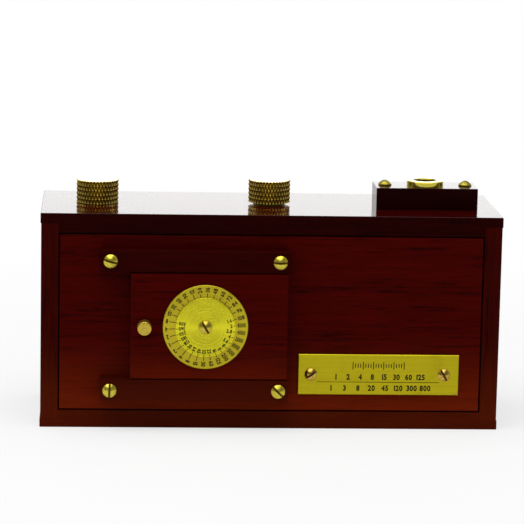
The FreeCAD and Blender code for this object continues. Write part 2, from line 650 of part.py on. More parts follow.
def supply_plunger():
    """Domed plunger with a flange that rests on the retainer."""
    flange_foot = PLUNGER_RETAINER_THICK
    radius = PLUNGER_DIAMETER / 2
    dome_base = PLUNGER_DOME - PLUNGER_PROUD
    body = turned([(0, dome_base), (radius, dome_base), (radius, flange_foot),
                   (PLUNGER_FLANGE_DIAMETER / 2, flange_foot),
                   (PLUNGER_FLANGE_DIAMETER / 2, flange_foot + PLUNGER_FLANGE_THICK),
                   (0, flange_foot + PLUNGER_FLANGE_THICK)])
    return moved(joined([body, dome(radius, dome_base, PLUNGER_DOME, -1)]), SPOOL_X, 0, ROOF_Z)


def plunger_retainer():
    """Brass disc let into the top board, that keeps the plunger in its bore."""
    disc = upright(PLUNGER_RETAINER_DIAMETER, (0, PLUNGER_RETAINER_THICK))
    hole = upright(PLUNGER_DIAMETER + 2 * RUN_GAP, (-OVER, PLUNGER_RETAINER_THICK + OVER))
    return moved(disc.cut(hole), SPOOL_X, 0, ROOF_Z)


def plunger_spring():
    """Spring coiled from flat strip, between the plunger's flange and the end of its bore."""
    half_thick = SPRING_STRIP_THICK / 2
    half_width = SPRING_STRIP_WIDTH / 2
    low = PLUNGER_RETAINER_THICK + PLUNGER_FLANGE_THICK + half_thick + FACE_GAP
    high = PLUNGER_RETAINER_THICK + PLUNGER_BORE_DEPTH - half_thick - FACE_GAP
    radius = SPRING_DIAMETER / 2 - half_width
    helix = Part.makeHelix((high - low) / SPRING_TURNS, high - low, radius)
    corners = [Vector(radius - half_width, 0, -half_thick), Vector(radius + half_width, 0, -half_thick),
               Vector(radius + half_width, 0, half_thick), Vector(radius - half_width, 0, half_thick)]
    section = Part.makePolygon(corners + corners[:1])
    coil = Part.Wire(helix.Edges).makePipeShell([section], True, True)
    return moved(coil, SPOOL_X, 0, ROOF_Z + low)


# Lock of the back

def lock_washer():
    """Washer between the lock knob and the top board."""
    z = (CASE_HEIGHT, CASE_HEIGHT + LOCK_WASHER_THICK)
    hole = upright(LOCK_DIAMETER + 2 * RUN_GAP, (z[0] - OVER, z[1] + OVER))
    return upright(LOCK_WASHER_DIAMETER, z).cut(hole)


def lock_knob():
    """Knob that clamps the back."""
    return knob(LOCK_KNOB_HEIGHT, LOCK_DIAMETER, CASE_HEIGHT + LOCK_WASHER_THICK)


def clip_place():
    """Heights of the clip, just under the roof of its well."""
    high = ROOF_Z + CLIP_WELL_DEPTH - 2 * FACE_GAP
    return (high - CLIP_THICK, high)


def lock_stud():
    """Stud from the lock knob down through the top board to the nut, grooved for its clip."""
    low = NUT_LOW_Z - LOCK_STUD_TAIL
    high = CASE_HEIGHT + LOCK_WASHER_THICK + KNOB_SOCKET_DEPTH
    groove = upright(LOCK_DIAMETER + OVER, clip_place()).cut(
        upright(LOCK_DIAMETER - 2 * CLIP_GROOVE_DEPTH, clip_place()))
    return upright(LOCK_DIAMETER, (low, high)).cut(groove)


def lock_clip():
    """Ring in the stud's groove, that keeps the stud in the top board."""
    z = clip_place()
    ring = upright(CLIP_DIAMETER, (z[0] + SCREW_GAP, z[1] - SCREW_GAP))
    bore = LOCK_DIAMETER - 2 * CLIP_GROOVE_DEPTH + 2 * SCREW_GAP
    return ring.cut(upright(bore, (z[0] - OVER, z[1] + OVER)))


def lock_nut():
    """Square nut under the bracket; it can't turn between its guides, so it rises on the stud."""
    half = BRACKET_WIDTH / 2
    z = (NUT_TOP_Z - LOCK_NUT_THICK, NUT_TOP_Z)
    body = block((-half, half), (-LOCK_NUT_DEPTH / 2, LOCK_NUT_DEPTH / 2), z)
    return body.cut(upright(LOCK_DIAMETER + 2 * RUN_GAP, (z[0] - OVER, z[1] + OVER)))


def nut_guide(side):
    """Wooden cheek under the top board, beside the bracket and the nut."""
    inner = BRACKET_WIDTH / 2 + BACK_GAP
    edges = sorted((side * inner, side * (inner + GUIDE_WIDTH)))
    return block(edges, (-GUIDE_LENGTH / 2, GUIDE_LENGTH / 2), (NUT_LOW_Z, ROOF_Z))


# Back

def bracket_leg_y():
    """Depths of the bracket's leg, let into the inner face of the back panel."""
    return (BACK_SEAT_Y + FACE_GAP, BACK_SEAT_Y + FACE_GAP + BRACKET_LEG_THICK)


def bracket_screw_places():
    """Centres of the two flat screws in the bracket's leg as (x, z)."""
    z = BRACKET_TOP_Z - BRACKET_LEG_DROP + BRACKET_SCREW_RISE
    return [(side * BRACKET_SCREW_SPREAD / 2, z) for side in (-1, 1)]


def back_bracket():
    """Brass bracket of the back: a forked arm round the lock stud, and a leg with two screws."""
    half = BRACKET_WIDTH / 2
    leg_y = bracket_leg_y()
    arm = block((-half, half), (-BRACKET_NOSE, leg_y[1]), (BRACKET_FOOT_Z, BRACKET_TOP_Z))
    leg = block((-half, half), leg_y, (BRACKET_TOP_Z - BRACKET_LEG_DROP, BRACKET_TOP_Z))
    slot_z = (BRACKET_FOOT_Z - OVER, BRACKET_TOP_Z + OVER)
    slot = block((-BRACKET_SLOT_WIDTH / 2, BRACKET_SLOT_WIDTH / 2), (-BRACKET_NOSE - OVER, 0), slot_z)
    tools = [slot, upright(BRACKET_SLOT_WIDTH, slot_z)]
    for x, z in bracket_screw_places():
        tools.append(facing_front(flat_screw(SCREW_GAP), x, leg_y[0], z))
    return without(joined([arm, leg]), tools)


def flat_screw(gap=0.0):
    """Flat-headed screw on Z with its head's face at height 0, or the hole for it."""
    head_diameter, head_height, shank_diameter, shank_length = FLAT_SCREW
    head = head_diameter / 2 + gap
    shank = shank_diameter / 2 + gap
    return turned([(0, 0), (head, 0), (shank, -head_height), (shank, -shank_length - gap),
                   (0, -shank_length - gap)])


def bracket_screws():
    """Two flat-headed screws that hold the bracket on the back panel."""
    return group([facing_front(flat_screw(), x, bracket_leg_y()[0], z) for x, z in bracket_screw_places()])


def back_panel():
    """Back panel in the rebate of the casing, with the film window and finger scoops."""
    half = INNER_X + BACK_REBATE - BACK_GAP
    z = (FLOOR_Z - BACK_REBATE + BACK_GAP, ROOF_Z + BACK_REBATE - BACK_GAP)
    panel = block((-half, half), (BACK_SEAT_Y, REAR_Y), z)
    panel = eased(panel, EDGE_ROUND, lambda box: near(box.YMin, REAR_Y))
    pocket_half = BRACKET_WIDTH / 2 + BACK_GAP
    pocket = block((-pocket_half, pocket_half), (BACK_SEAT_Y - OVER, bracket_leg_y()[1] + FACE_GAP),
                   (BRACKET_TOP_Z - BRACKET_LEG_DROP - BACK_GAP, BRACKET_TOP_Z + FACE_GAP))
    sight = level(WINDOW_SIGHT_DIAMETER, (BACK_SEAT_Y - OVER, REAR_Y + OVER), 0, WINDOW_Z)
    seat = level(WINDOW_DISC_DIAMETER + 2 * GLUE_GAP,
                 (BACK_SEAT_Y - OVER, BACK_SEAT_Y + WINDOW_DISC_THICK + GLUE_GAP), 0, WINDOW_Z)
    pivot = level(COVER_SCREW[2] + 2 * SCREW_GAP,
                  (REAR_Y + COVER_THICK - COVER_SCREW[3] - GLUE_GAP, REAR_Y + OVER), 0, WINDOW_Z + COVER_ARM)
    tools = [pocket, sight, seat, pivot]
    for x, z_screw in bracket_screw_places():
        tools.append(facing_front(flat_screw(SCREW_GAP), x, bracket_leg_y()[0], z_screw))
    for side in (-1, 1):
        centre = side * (half + SCOOP_RADIUS - SCOOP_REACH)
        tools.append(level(2 * SCOOP_RADIUS, (REAR_Y - SCOOP_DEPTH, REAR_Y + OVER), centre, AXIS_Z))
    return without(panel, tools)


def pressure_plate():
    """Felt-faced plate on the back panel that keeps the film flat across the gate."""
    half = PARTITION_X
    rise = FILM_WIDTH / 2
    y = (FILM_Y + FILM_GAP, BACK_SEAT_Y)
    plate = block((-half, half), y, (AXIS_Z - rise, AXIS_Z + rise))
    plate = eased(plate, FILM_GUIDE_ROUND, lambda box: box.ZLength > rise and near(box.YMax, y[0]))
    return plate.cut(level(WINDOW_SIGHT_DIAMETER, (y[0] - OVER, y[1] + OVER), 0, WINDOW_Z))


def ruby_window():
    """Red disc through which the frame number on the backing paper is read."""
    return level(WINDOW_DISC_DIAMETER, (BACK_SEAT_Y, BACK_SEAT_Y + WINDOW_DISC_THICK), 0, WINDOW_Z)


def window_cover():
    """Brass cover that hangs over the window from its pivot screw."""
    y = (REAR_Y, REAR_Y + COVER_THICK)
    low = level(COVER_DIAMETER, y, 0, WINDOW_Z)
    high = level(COVER_PIVOT_DIAMETER, y, 0, WINDOW_Z + COVER_ARM)
    lean = (COVER_DIAMETER - COVER_PIVOT_DIAMETER) / 2 / COVER_ARM
    side = math.sqrt(1 - lean ** 2)
    corners = []
    for x, radius, z in ((1, COVER_DIAMETER, WINDOW_Z), (1, COVER_PIVOT_DIAMETER, WINDOW_Z + COVER_ARM),
                         (-1, COVER_PIVOT_DIAMETER, WINDOW_Z + COVER_ARM), (-1, COVER_DIAMETER, WINDOW_Z)):
        corners.append(Vector(x * side * radius / 2, y[0], z + lean * radius / 2))
    web = Part.Face(Part.makePolygon(corners + corners[:1])).extrude(Vector(0, COVER_THICK, 0))
    hole = level(COVER_SCREW[2] + 2 * RUN_GAP, (y[0] - OVER, y[1] + OVER), 0, WINDOW_Z + COVER_ARM)
    return joined([low, web, high]).cut(hole)


def cover_screw():
    """Pivot screw of the window cover."""
    return facing_back(round_screw(COVER_SCREW, COVER_SLOT), 0, REAR_Y + COVER_THICK, WINDOW_Z + COVER_ARM)


# Threaded block on the top

def block_screw_places():
    """The x of the left and right screw of the block."""
    return (BLOCK_CENTRE_X - BLOCK_SCREW_SPREAD / 2, BLOCK_CENTRE_X + BLOCK_SCREW_SPREAD / 2)


def socket_block():
    """Wooden block on the top board that carries the threaded bush."""
    x = (BLOCK_CENTRE_X - BLOCK_WIDTH / 2, BLOCK_CENTRE_X + BLOCK_WIDTH / 2)
    y = (BLOCK_CENTRE_Y - BLOCK_DEPTH / 2, BLOCK_CENTRE_Y + BLOCK_DEPTH / 2)
    top = CASE_HEIGHT + BLOCK_HEIGHT
    body = eased(block(x, y, (CASE_HEIGHT, top)), BLOCK_ROUND, lambda box: box.ZMax > top - BLOCK_ROUND)
    well = (top - SOCKET_BARREL_LENGTH - GLUE_GAP, top + OVER)
    tools = [upright(SOCKET_BARREL_DIAMETER + 2 * GLUE_GAP, well, BLOCK_CENTRE_X, BLOCK_CENTRE_Y)]
    for place in block_screw_places():
        tools.append(upright(BLOCK_SCREW[2] + 2 * SCREW_GAP, (CASE_HEIGHT - OVER, top + OVER),
                             place, BLOCK_CENTRE_Y))
    return without(body, tools)


def socket_bush():
    """Threaded brass bush with a raised ring round its mouth."""
    top = CASE_HEIGHT + BLOCK_HEIGHT
    foot = top - SOCKET_BARREL_LENGTH
    crown = top + SOCKET_RING_HEIGHT
    bore = SOCKET_BORE_DIAMETER / 2
    barrel = SOCKET_BARREL_DIAMETER / 2
    ring = SOCKET_RING_DIAMETER / 2
    bush = turned([(bore, foot), (barrel, foot), (barrel, top), (ring, top),
                   (ring, crown - SOCKET_CHAMFER), (ring - SOCKET_CHAMFER, crown), (bore, crown)])
    return moved(bush, BLOCK_CENTRE_X, BLOCK_CENTRE_Y, 0)


def block_screws():
    """Two round-headed screws through the block into the top board."""
    top = CASE_HEIGHT + BLOCK_HEIGHT
    return group([moved(round_screw(BLOCK_SCREW, turn), x, BLOCK_CENTRE_Y, top)
                  for x, turn in zip(block_screw_places(), BLOCK_SLOTS)])


PARTS = {
    "top_board": top_board,
    "bottom_board": bottom_board,
    "left_side_board": lambda: side_board(-1),
    "right_side_board": lambda: side_board(1),
    "front_panel": front_panel,
    "left_partition": lambda: partition(-1),
    "right_partition": lambda: partition(1),
    "upper_gate_strip": lambda: gate_strip(True),
    "lower_gate_strip": lambda: gate_strip(False),
    "left_batten": lambda: batten(-1),
    "right_batten": lambda: batten(1),
    "pinhole_plate": pinhole_plate,
    "pinhole_retainer": pinhole_retainer,
    "upper_rail": lambda: rail(1),
    "lower_rail": lambda: rail(-1),
    "rail_screws": rail_screws,
    "shutter_plate": shutter_plate,
    "shutter_pin": shutter_pin,
    "dial_ring": lambda: dial_plate(DIAL_RING_DIAMETER, DIAL_RING_THICK, 0),
    "dial_disc": lambda: dial_plate(DIAL_DISC_DIAMETER, DIAL_DISC_THICK, DIAL_RING_THICK),
    "dial_screw": dial_screw,
    "label_plate": label_plate,
    "label_screws": label_screws,
    "winding_knob": winding_knob,
    "winding_shaft": winding_shaft,
    "winder_bush": winder_bush,
    "takeup_spool": takeup_spool,
    "takeup_pin": lambda: spool_pin(-SPOOL_X),
    "supply_pin": lambda: spool_pin(SPOOL_X),
    "supply_plunger": supply_plunger,
    "plunger_retainer": plunger_retainer,
    "plunger_spring": plunger_spring,
    "lock_knob": lock_knob,
    "lock_washer": lock_washer,
    "lock_stud": lock_stud,
    "lock_clip": lock_clip,
    "lock_nut": lock_nut,
    "left_nut_guide": lambda: nut_guide(-1),
    "right_nut_guide": lambda: nut_guide(1),
    "back_panel": back_panel,
    "back_bracket": back_bracket,
    "bracket_screws": bracket_screws,
    "pressure_plate": pressure_plate,
    "ruby_window": ruby_window,
    "window_cover": window_cover,
    "cover_screw": cover_screw,
    "socket_block": socket_block,
    "socket_bush": socket_bush,
    "block_screws": block_screws,
}

os.makedirs("parts", exist_ok=True)
for node, make in PARTS.items():
    make().exportStep("parts/" + node + ".step")
print(len(PARTS), "nodes; casing", 2 * BOARD_X, "x", CASE_DEPTH, "x", CASE_HEIGHT)
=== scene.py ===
import json
import logging
import math
from dataclasses import dataclass, field
from enum import Enum
from typing import Any, Callable, Dict, List, Optional, Sequence, Tuple, Union

import bpy
import numpy as np
from mathutils import Matrix, Vector
from mathutils.geometry import tessellate_polygon

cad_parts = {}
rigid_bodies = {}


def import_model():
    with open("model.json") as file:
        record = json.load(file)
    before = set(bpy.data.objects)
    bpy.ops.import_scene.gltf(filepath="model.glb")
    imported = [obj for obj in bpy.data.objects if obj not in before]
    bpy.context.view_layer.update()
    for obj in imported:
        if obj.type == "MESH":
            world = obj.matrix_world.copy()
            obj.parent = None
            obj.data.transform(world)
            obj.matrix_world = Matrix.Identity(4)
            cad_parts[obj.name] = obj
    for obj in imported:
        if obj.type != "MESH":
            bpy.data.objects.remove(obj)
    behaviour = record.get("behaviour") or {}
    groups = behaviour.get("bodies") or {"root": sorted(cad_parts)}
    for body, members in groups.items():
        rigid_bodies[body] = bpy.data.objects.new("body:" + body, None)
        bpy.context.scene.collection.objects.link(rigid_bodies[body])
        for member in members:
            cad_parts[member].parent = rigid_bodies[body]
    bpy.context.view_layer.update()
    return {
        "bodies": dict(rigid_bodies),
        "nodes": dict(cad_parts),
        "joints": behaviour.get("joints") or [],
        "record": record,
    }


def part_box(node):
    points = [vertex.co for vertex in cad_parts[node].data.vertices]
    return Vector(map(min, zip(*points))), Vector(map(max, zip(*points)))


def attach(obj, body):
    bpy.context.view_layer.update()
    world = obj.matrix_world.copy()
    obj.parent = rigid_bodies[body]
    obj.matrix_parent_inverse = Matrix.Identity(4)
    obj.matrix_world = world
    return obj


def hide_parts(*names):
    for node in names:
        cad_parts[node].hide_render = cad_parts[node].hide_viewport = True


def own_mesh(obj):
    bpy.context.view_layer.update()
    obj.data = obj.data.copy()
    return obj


# Wooden pinhole camera: its finishes, its knurled knobs, dial figures and threaded bush, and the studio.
# Metres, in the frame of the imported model: the front looks towards -Y and +Z is up.

LOG = logging.getLogger("pinhole_camera")
MM = 0.001

Colour = Tuple[float, float, float]
Number = Union[int, float]


# Shader expressions

def joined(operation: str) -> Callable[["Value", Union["Value", Number]], "Value"]:
    """Method that joins a value and another value or number by a Math node."""
    return lambda first, second: first.math(operation, second)


class Value:
    """An output of a shader node that takes part in Python expressions."""

    def __init__(self, net: "Net", socket: bpy.types.NodeSocket) -> None:
        """Wraps a socket of the net's tree."""
        self.net = net
        self.socket = socket

    def math(self, operation: str, *others: Union["Value", Number]) -> "Value":
        """Math node on this value and the others, in that order."""
        inputs = dict(enumerate((self,) + others))
        return self.net.node("ShaderNodeMath", {"operation": operation}, inputs)

    __add__ = __radd__ = joined("ADD")
    __mul__ = __rmul__ = joined("MULTIPLY")
    __sub__ = joined("SUBTRACT")
    largest = joined("MAXIMUM")

    def __rsub__(self, other: Number) -> "Value":
        """Number less this value."""
        return self * -1.0 + other

    def __abs__(self) -> "Value":
        """Size without its sign."""
        return self.math("ABSOLUTE")

    def step(self, low: float, high: float) -> "Value":
        """Smooth rise from 0 at low to 1 at high, or a fall where low is the larger."""
        inputs = {"Value": self, "From Min": low, "From Max": high}
        return self.net.node("ShaderNodeMapRange", {"interpolation_type": "SMOOTHSTEP"}, inputs)


Input = Union[Value, Number, Sequence[float]]


class Net:
    """The node tree of a material or a world."""

    # Socket numbers of the Mix node's two colours and of its mixed colour
    mix_colours = (6, 7)
    mix_result = 2

    def __init__(self, tree: bpy.types.NodeTree) -> None:
        """Empties the tree."""
        self.tree = tree
        tree.nodes.clear()

    def node(self, kind: str, settings: Optional[Dict[str, Any]] = None,
             inputs: Optional[Dict[Union[int, str], Input]] = None, output: Union[int, str] = 0) -> Value:
        """Adds a node.

        Args:
            kind: The node's type.
            settings: Its properties, set first.
            inputs: Values or links by socket name or number.
            output: The name or number of the output that is wanted.

        Returns:
            That output.
        """
        made = self.tree.nodes.new(kind)
        for name, value in (settings or {}).items():
            setattr(made, name, value)
        for name, value in (inputs or {}).items():
            if isinstance(value, Value):
                self.tree.links.new(value.socket, made.inputs[name])
            else:
                made.inputs[name].default_value = value
        return Value(self, made.outputs[output])

    def blend(self, factor: Value, first: Union[Value, Colour], second: Union[Value, Colour]) -> Value:
        """Colour that goes from first at factor 0 to second at factor 1."""
        ends = {socket: end if isinstance(end, Value) else (*end, 1.0)
                for socket, end in zip(self.mix_colours, (first, second))}
        return self.node("ShaderNodeMix", {"data_type": "RGBA"}, {0: factor, **ends}, self.mix_result)

    def place(self) -> Value:
        """Object coordinates in millimetres."""
        here = self.node("ShaderNodeTexCoord", output="Object")
        return self.node("ShaderNodeVectorMath", {"operation": "SCALE"}, {0: here, "Scale": 1 / MM})

    def scaled(self, vector: Value, factors: Sequence[float]) -> Value:
        """Vector with each axis multiplied by its factor."""
        return self.node("ShaderNodeVectorMath", {"operation": "MULTIPLY"}, {0: vector, 1: tuple(factors)})

    def axes(self, vector: Value) -> Tuple[Value, Value, Value]:
        """The three parts of a vector."""
        split = self.node("ShaderNodeSeparateXYZ", None, {0: vector}).socket.node
        return tuple(Value(self, out) for out in split.outputs)

    def noise(self, vector: Value, scale: float, detail: float = 3.0, roughness: float = 0.5) -> Value:
        """Smooth noise, about 0.5 on average."""
        inputs = {"Vector": vector, "Scale": scale, "Detail": detail, "Roughness": roughness}
        return self.node("ShaderNodeTexNoise", None, inputs)

    def facing(self) -> Tuple[Value, Value, Value]:
        """The three parts of the direction that the surface faces, in the object's own axes."""
        return self.axes(self.node("ShaderNodeTexCoord", output="Normal"))

    def length(self, vector: Value) -> Value:
        """Length of a vector."""
        return self.node("ShaderNodeVectorMath", {"operation": "LENGTH"}, {0: vector}, "Value")

    def ray(self, kind: str) -> Value:
        """1 for rays of a kind, such as Camera, and 0 for others."""
        return self.node("ShaderNodeLightPath", output="Is " + kind + " Ray")

    def bump(self, height: Value, depth_mm: float, strength: float) -> Value:
        """Normal of a surface that rises with height by the depth."""
        inputs = {"Height": height, "Distance": depth_mm * MM, "Strength": strength}
        return self.node("ShaderNodeBump", None, inputs)

    def surface(self, inputs: Dict[Union[int, str], Input]) -> Value:
        """Principled surface."""
        return self.node("ShaderNodeBsdfPrincipled", None, inputs)

    def close(self, shader: Value, kind: str = "ShaderNodeOutputMaterial") -> None:
        """Links the finished shader to the tree's output."""
        out = self.tree.nodes.new(kind)
        self.tree.links.new(shader.socket, out.inputs["Surface"])


class Axis(Enum):
    """Direction of the grain or of a turned part's axis."""

    X = 0
    Y = 1
    Z = 2


class Lay(Enum):
    """The marks that a tool left on metal."""

    BRUSHED = "brushed"
    TURNED = "turned"
    CAST = "cast"


class Facing(Enum):
    """The way that a screw's head faces, as the matrix that lays +Z on it."""

    UP = Matrix.Identity(4)
    FRONT = Matrix.Rotation(math.pi / 2, 4, "X")
    BACK = Matrix.Rotation(math.pi, 4, "Z") @ Matrix.Rotation(math.pi / 2, 4, "X")


@dataclass(frozen=True)
class Finish:
    """A finish: its name and how its material is made."""

    name: str

    def shader(self, net: Net) -> Value:
        """The finish's shader.

        Args:
            net: The tree that its nodes go into.

        Returns:
            The shader's output.
        """
        raise NotImplementedError

    def material(self) -> bpy.types.Material:
        """The finish's material, made once.

        Returns:
            The material, which pieces of one finish share.
        """
        found = bpy.data.materials.get("finish_" + self.name)
        if found is not None:
            return found
        made = bpy.data.materials.new("finish_" + self.name)
        made.use_nodes = True
        net = Net(made.node_tree)
        net.close(self.shader(net))
        return made


@dataclass(frozen=True)
class VarnishedWood(Finish):
    """Red-stained wood with a straight grain under varnish."""

    grain: Axis = Axis.X
    dark: Colour = (0.016, 0.0006, 0.0003)
    middle: Colour = (0.050, 0.0009, 0.0004)
    light: Colour = (0.084, 0.0024, 0.0009)
    # Painted floor light: below this height the colour turns by this share towards a lighter, more orange
    # tone.
    painted_floor_light: Colour = (0.190, 0.0185, 0.0018)
    painted_floor_light_top_mm: float = 38.0
    painted_floor_light_share: float = 0.70
    stretch: float = 0.055
    # Painted shade: nearly black in the front quirk and on every face behind it.
    quirk_front_mm: Optional[float] = None
    quirk_depth_mm: float = 0.7
    quirk_painted_shade: Colour = (0.002, 0.0004, 0.0003)
    # Painted shade: faces that look forward or up turn darker by these shares.
    shade_dark: Colour = (0.004, 0.0003, 0.0002)
    front_shade: float = 0.0
    top_shade: float = 0.0
    specular: float = 0.010
    top_coat: float = 0.0
    side_coat: float = 0.0
    coat_ior: float = 1.3
    coat_roughness: float = 0.05
    pore_depth_mm: float = 0.02
    roughness: float = 0.22
    seed_mm: float = 0.0

    def shader(self, net: Net) -> Value:
        """Bands, streaks and pores drawn out along the grain, with painted floor light towards the bottom and
        painted shade, under a coat on all but the front faces.

        Args:
            net: The tree that its nodes go into.

        Returns:
            The shader's output.
        """
        here = net.place()
        factors = [1.0, 1.0, 1.0]
        factors[self.grain.value] = self.stretch
        shift = net.node("ShaderNodeVectorMath", {"operation": "ADD"},
                         {0: here, 1: (self.seed_mm, self.seed_mm * 0.7, self.seed_mm * 1.3)})
        fibre = net.scaled(shift, factors)
        band = net.noise(fibre, 0.16, 3.0, 0.6)
        streak = net.noise(fibre, 0.95, 4.0, 0.62)
        pore = net.noise(fibre, 3.6, 2.0, 0.5)
        tone = (band * 0.5 + streak * 1.1 + pore * 0.5 - 0.55).step(0.20, 0.80)
        stain_and_painted_light = net.blend(tone, self.dark, self.light)
        stain_and_painted_light = net.blend((tone * 2.0).step(0.0, 0.8) * 0.65, stain_and_painted_light, self.middle)
        parts = net.axes(here)
        # Painted floor light: lighter and more orange towards the bottom, as if lit from the floor.
        low = parts[2].step(self.painted_floor_light_top_mm, 0.0) * self.painted_floor_light_share
        stain_and_painted_light = net.blend(low * (0.6 + 0.6 * streak), stain_and_painted_light, self.painted_floor_light)
        dashes = pore.step(0.58, 0.70) * 0.28
        stain_and_painted_light = net.blend(dashes, stain_and_painted_light, self.dark)
        facing = net.facing()
        # Painted shade in the front quirk and on the faces behind it.
        if self.quirk_front_mm is not None:
            inside = parts[1].step(self.quirk_front_mm, self.quirk_front_mm + self.quirk_depth_mm)
            stain_and_painted_light = net.blend(inside, stain_and_painted_light, self.quirk_painted_shade)
        upward = facing[2].step(0.55, 0.8)
        # Painted shade on faces that look forward or up.
        if self.front_shade + self.top_shade > 0.0:
            forward = facing[1].step(-0.55, -0.8)
            shade = forward * self.front_shade + upward * self.top_shade
            stain_and_painted_light = net.blend(shade, stain_and_painted_light, self.shade_dark)
        beside = abs(facing[0]).largest(facing[1]).step(0.55, 0.8)
        coat = upward * self.top_coat + beside * self.side_coat
        return net.surface({
            "Base Color": stain_and_painted_light,
            "Roughness": self.roughness + 0.1 * pore,
            "Specular IOR Level": self.specular,
            "Coat Weight": coat,
            "Coat Roughness": self.coat_roughness,
            "Coat IOR": self.coat_ior,
            "Normal": net.bump(pore * -1.0, self.pore_depth_mm, 0.35),
        })


@dataclass(frozen=True)
class Brass(Finish):
    """Brass with tool marks and tarnished spots, with painted shade in grooves and a painted sheen on top
    faces where asked.
    """

    bright: Colour = (0.64, 0.53, 0.060)
    tarnish_and_groove_shade: Colour = (0.30, 0.21, 0.030)
    roughness: float = 0.30
    lay: Lay = Lay.CAST
    axis: Axis = Axis.Z
    centre_mm: Tuple[float, float, float] = (0.0, 0.0, 0.0)
    spots: float = 0.35
    spot_scale: float = 0.5
    marks: float = 0.012
    contrast: float = 0.18
    # Painted shade in the grooves that the mesh marks, and a painted sheen colour for faces that look up.
    painted_groove_shade: bool = False
    crown: Optional[Colour] = None

    def shader(self, net: Net) -> Value:
        """Metal whose marks run along X, round an axis, or nowhere, and whose spots are tarnish; painted shade
        darkens grooves and a painted sheen lightens faces that look up.

        Args:
            net: The tree that its nodes go into.

        Returns:
            The shader's output.
        """
        here = net.place()
        if self.lay is Lay.BRUSHED:
            path = net.scaled(here, (0.03, 1.0, 6.0))
        elif self.lay is Lay.TURNED:
            arm = net.node("ShaderNodeVectorMath", {"operation": "SUBTRACT"}, {0: here, 1: self.centre_mm})
            factors = [1.0, 1.0, 1.0]
            factors[self.axis.value] = 0.0
            path = net.node("ShaderNodeCombineXYZ", None, {0: net.length(net.scaled(arm, factors)) * 5.0})
        else:
            path = net.scaled(here, (1.5, 1.5, 1.5))
        mark = net.noise(path, 1.0, 3.0, 0.6)
        spot = net.noise(here, self.spot_scale, 4.0, 0.62)
        dirt_and_groove_shade = spot.step(0.50, 0.74) * self.spots
        # Painted shade: grooves, slots and bores take the tarnish colour.
        if self.painted_groove_shade:
            groove = net.node("ShaderNodeAttribute", {"attribute_name": "groove"}, output="Fac")
            dirt_and_groove_shade = dirt_and_groove_shade.largest(groove.step(0.45, 1.0))
        metal = net.blend(dirt_and_groove_shade, self.bright, self.tarnish_and_groove_shade)
        # Painted sheen: faces that look up turn pale.
        if self.crown is not None:
            metal = net.blend(net.facing()[2].step(0.8, 0.95) * (1.0 - dirt_and_groove_shade), metal, self.crown)
        metal = net.blend(mark.step(0.2, 0.8) * self.contrast, metal, self.tarnish_and_groove_shade)
        return net.surface({
            "Base Color": metal,
            "Metallic": 1.0,
            "Roughness": self.roughness + 0.14 * dirt_and_groove_shade + 0.08 * mark,
            "Normal": net.bump(mark, self.marks, 0.6),
        })


@dataclass(frozen=True)
class Paint(Finish):
    """Dull dark filling, lacquer, plastic or felt with a fine mottle."""

    base: Colour = (0.02, 0.014, 0.006)
    shade: Colour = (0.008, 0.006, 0.003)
    roughness: float = 0.55
    scale: float = 2.0
    depth_mm: float = 0.02
    specular: float = 0.3
    sheen: float = 0.0

    def shader(self, net: Net) -> Value:
        """Two tones mixed by noise, with a fine bump.

        Args:
            net: The tree that its nodes go into.

        Returns:
            The shader's output.
        """
        grain = net.noise(net.place(), self.scale, 4.0, 0.6)
        return net.surface({
            "Base Color": net.blend(grain.step(0.3, 0.7), self.base, self.shade),
            "Roughness": self.roughness + 0.15 * grain,
            "Specular IOR Level": self.specular,
            "Sheen Weight": self.sheen,
            "Normal": net.bump(grain, self.depth_mm, 0.6),
        })


@dataclass(frozen=True)
class Steel(Finish):
    """Bare spring steel."""

    base: Colour = (0.55, 0.55, 0.56)
    shade: Colour = (0.30, 0.29, 0.28)

    def shader(self, net: Net) -> Value:
        """Grey metal with a fine mottle.

        Args:
            net: The tree that its nodes go into.

        Returns:
            The shader's output.
        """
        grain = net.noise(net.place(), 3.0, 4.0, 0.6)
        return net.surface({
            "Base Color": net.blend(grain.step(0.3, 0.7), self.base, self.shade),
            "Metallic": 1.0,
            "Roughness": 0.25 + 0.2 * grain,
        })


@dataclass(frozen=True)
class RubyGlass(Finish):
    """Deep red window plastic."""

    base: Colour = (0.60, 0.010, 0.008)
    shade: Colour = (0.40, 0.005, 0.004)

    def shader(self, net: Net) -> Value:
        """Clear red with faint clouds.

        Args:
            net: The tree that its nodes go into.

        Returns:
            The shader's output.
        """
        cloud = net.noise(net.place(), 0.4, 2.0, 0.5)
        return net.surface({
            "Base Color": net.blend(cloud.step(0.3, 0.7), self.base, self.shade),
            "Roughness": 0.06 + 0.05 * cloud,
            "Transmission Weight": 0.3,
            "IOR": 1.49,
        })


# Mesh building

@dataclass
class Patch:
    """Vertices and triangles of one closed surface, with a groove value for each vertex."""

    points: np.ndarray
    faces: np.ndarray
    groove: np.ndarray


def halves(a: np.ndarray, b: np.ndarray, c: np.ndarray, d: np.ndarray) -> np.ndarray:
    """Two triangles for each four-sided cell: all of a b c, then all of a c d."""
    return np.vstack([np.stack([a, b, c], -1).reshape(-1, 3), np.stack([a, c, d], -1).reshape(-1, 3)])


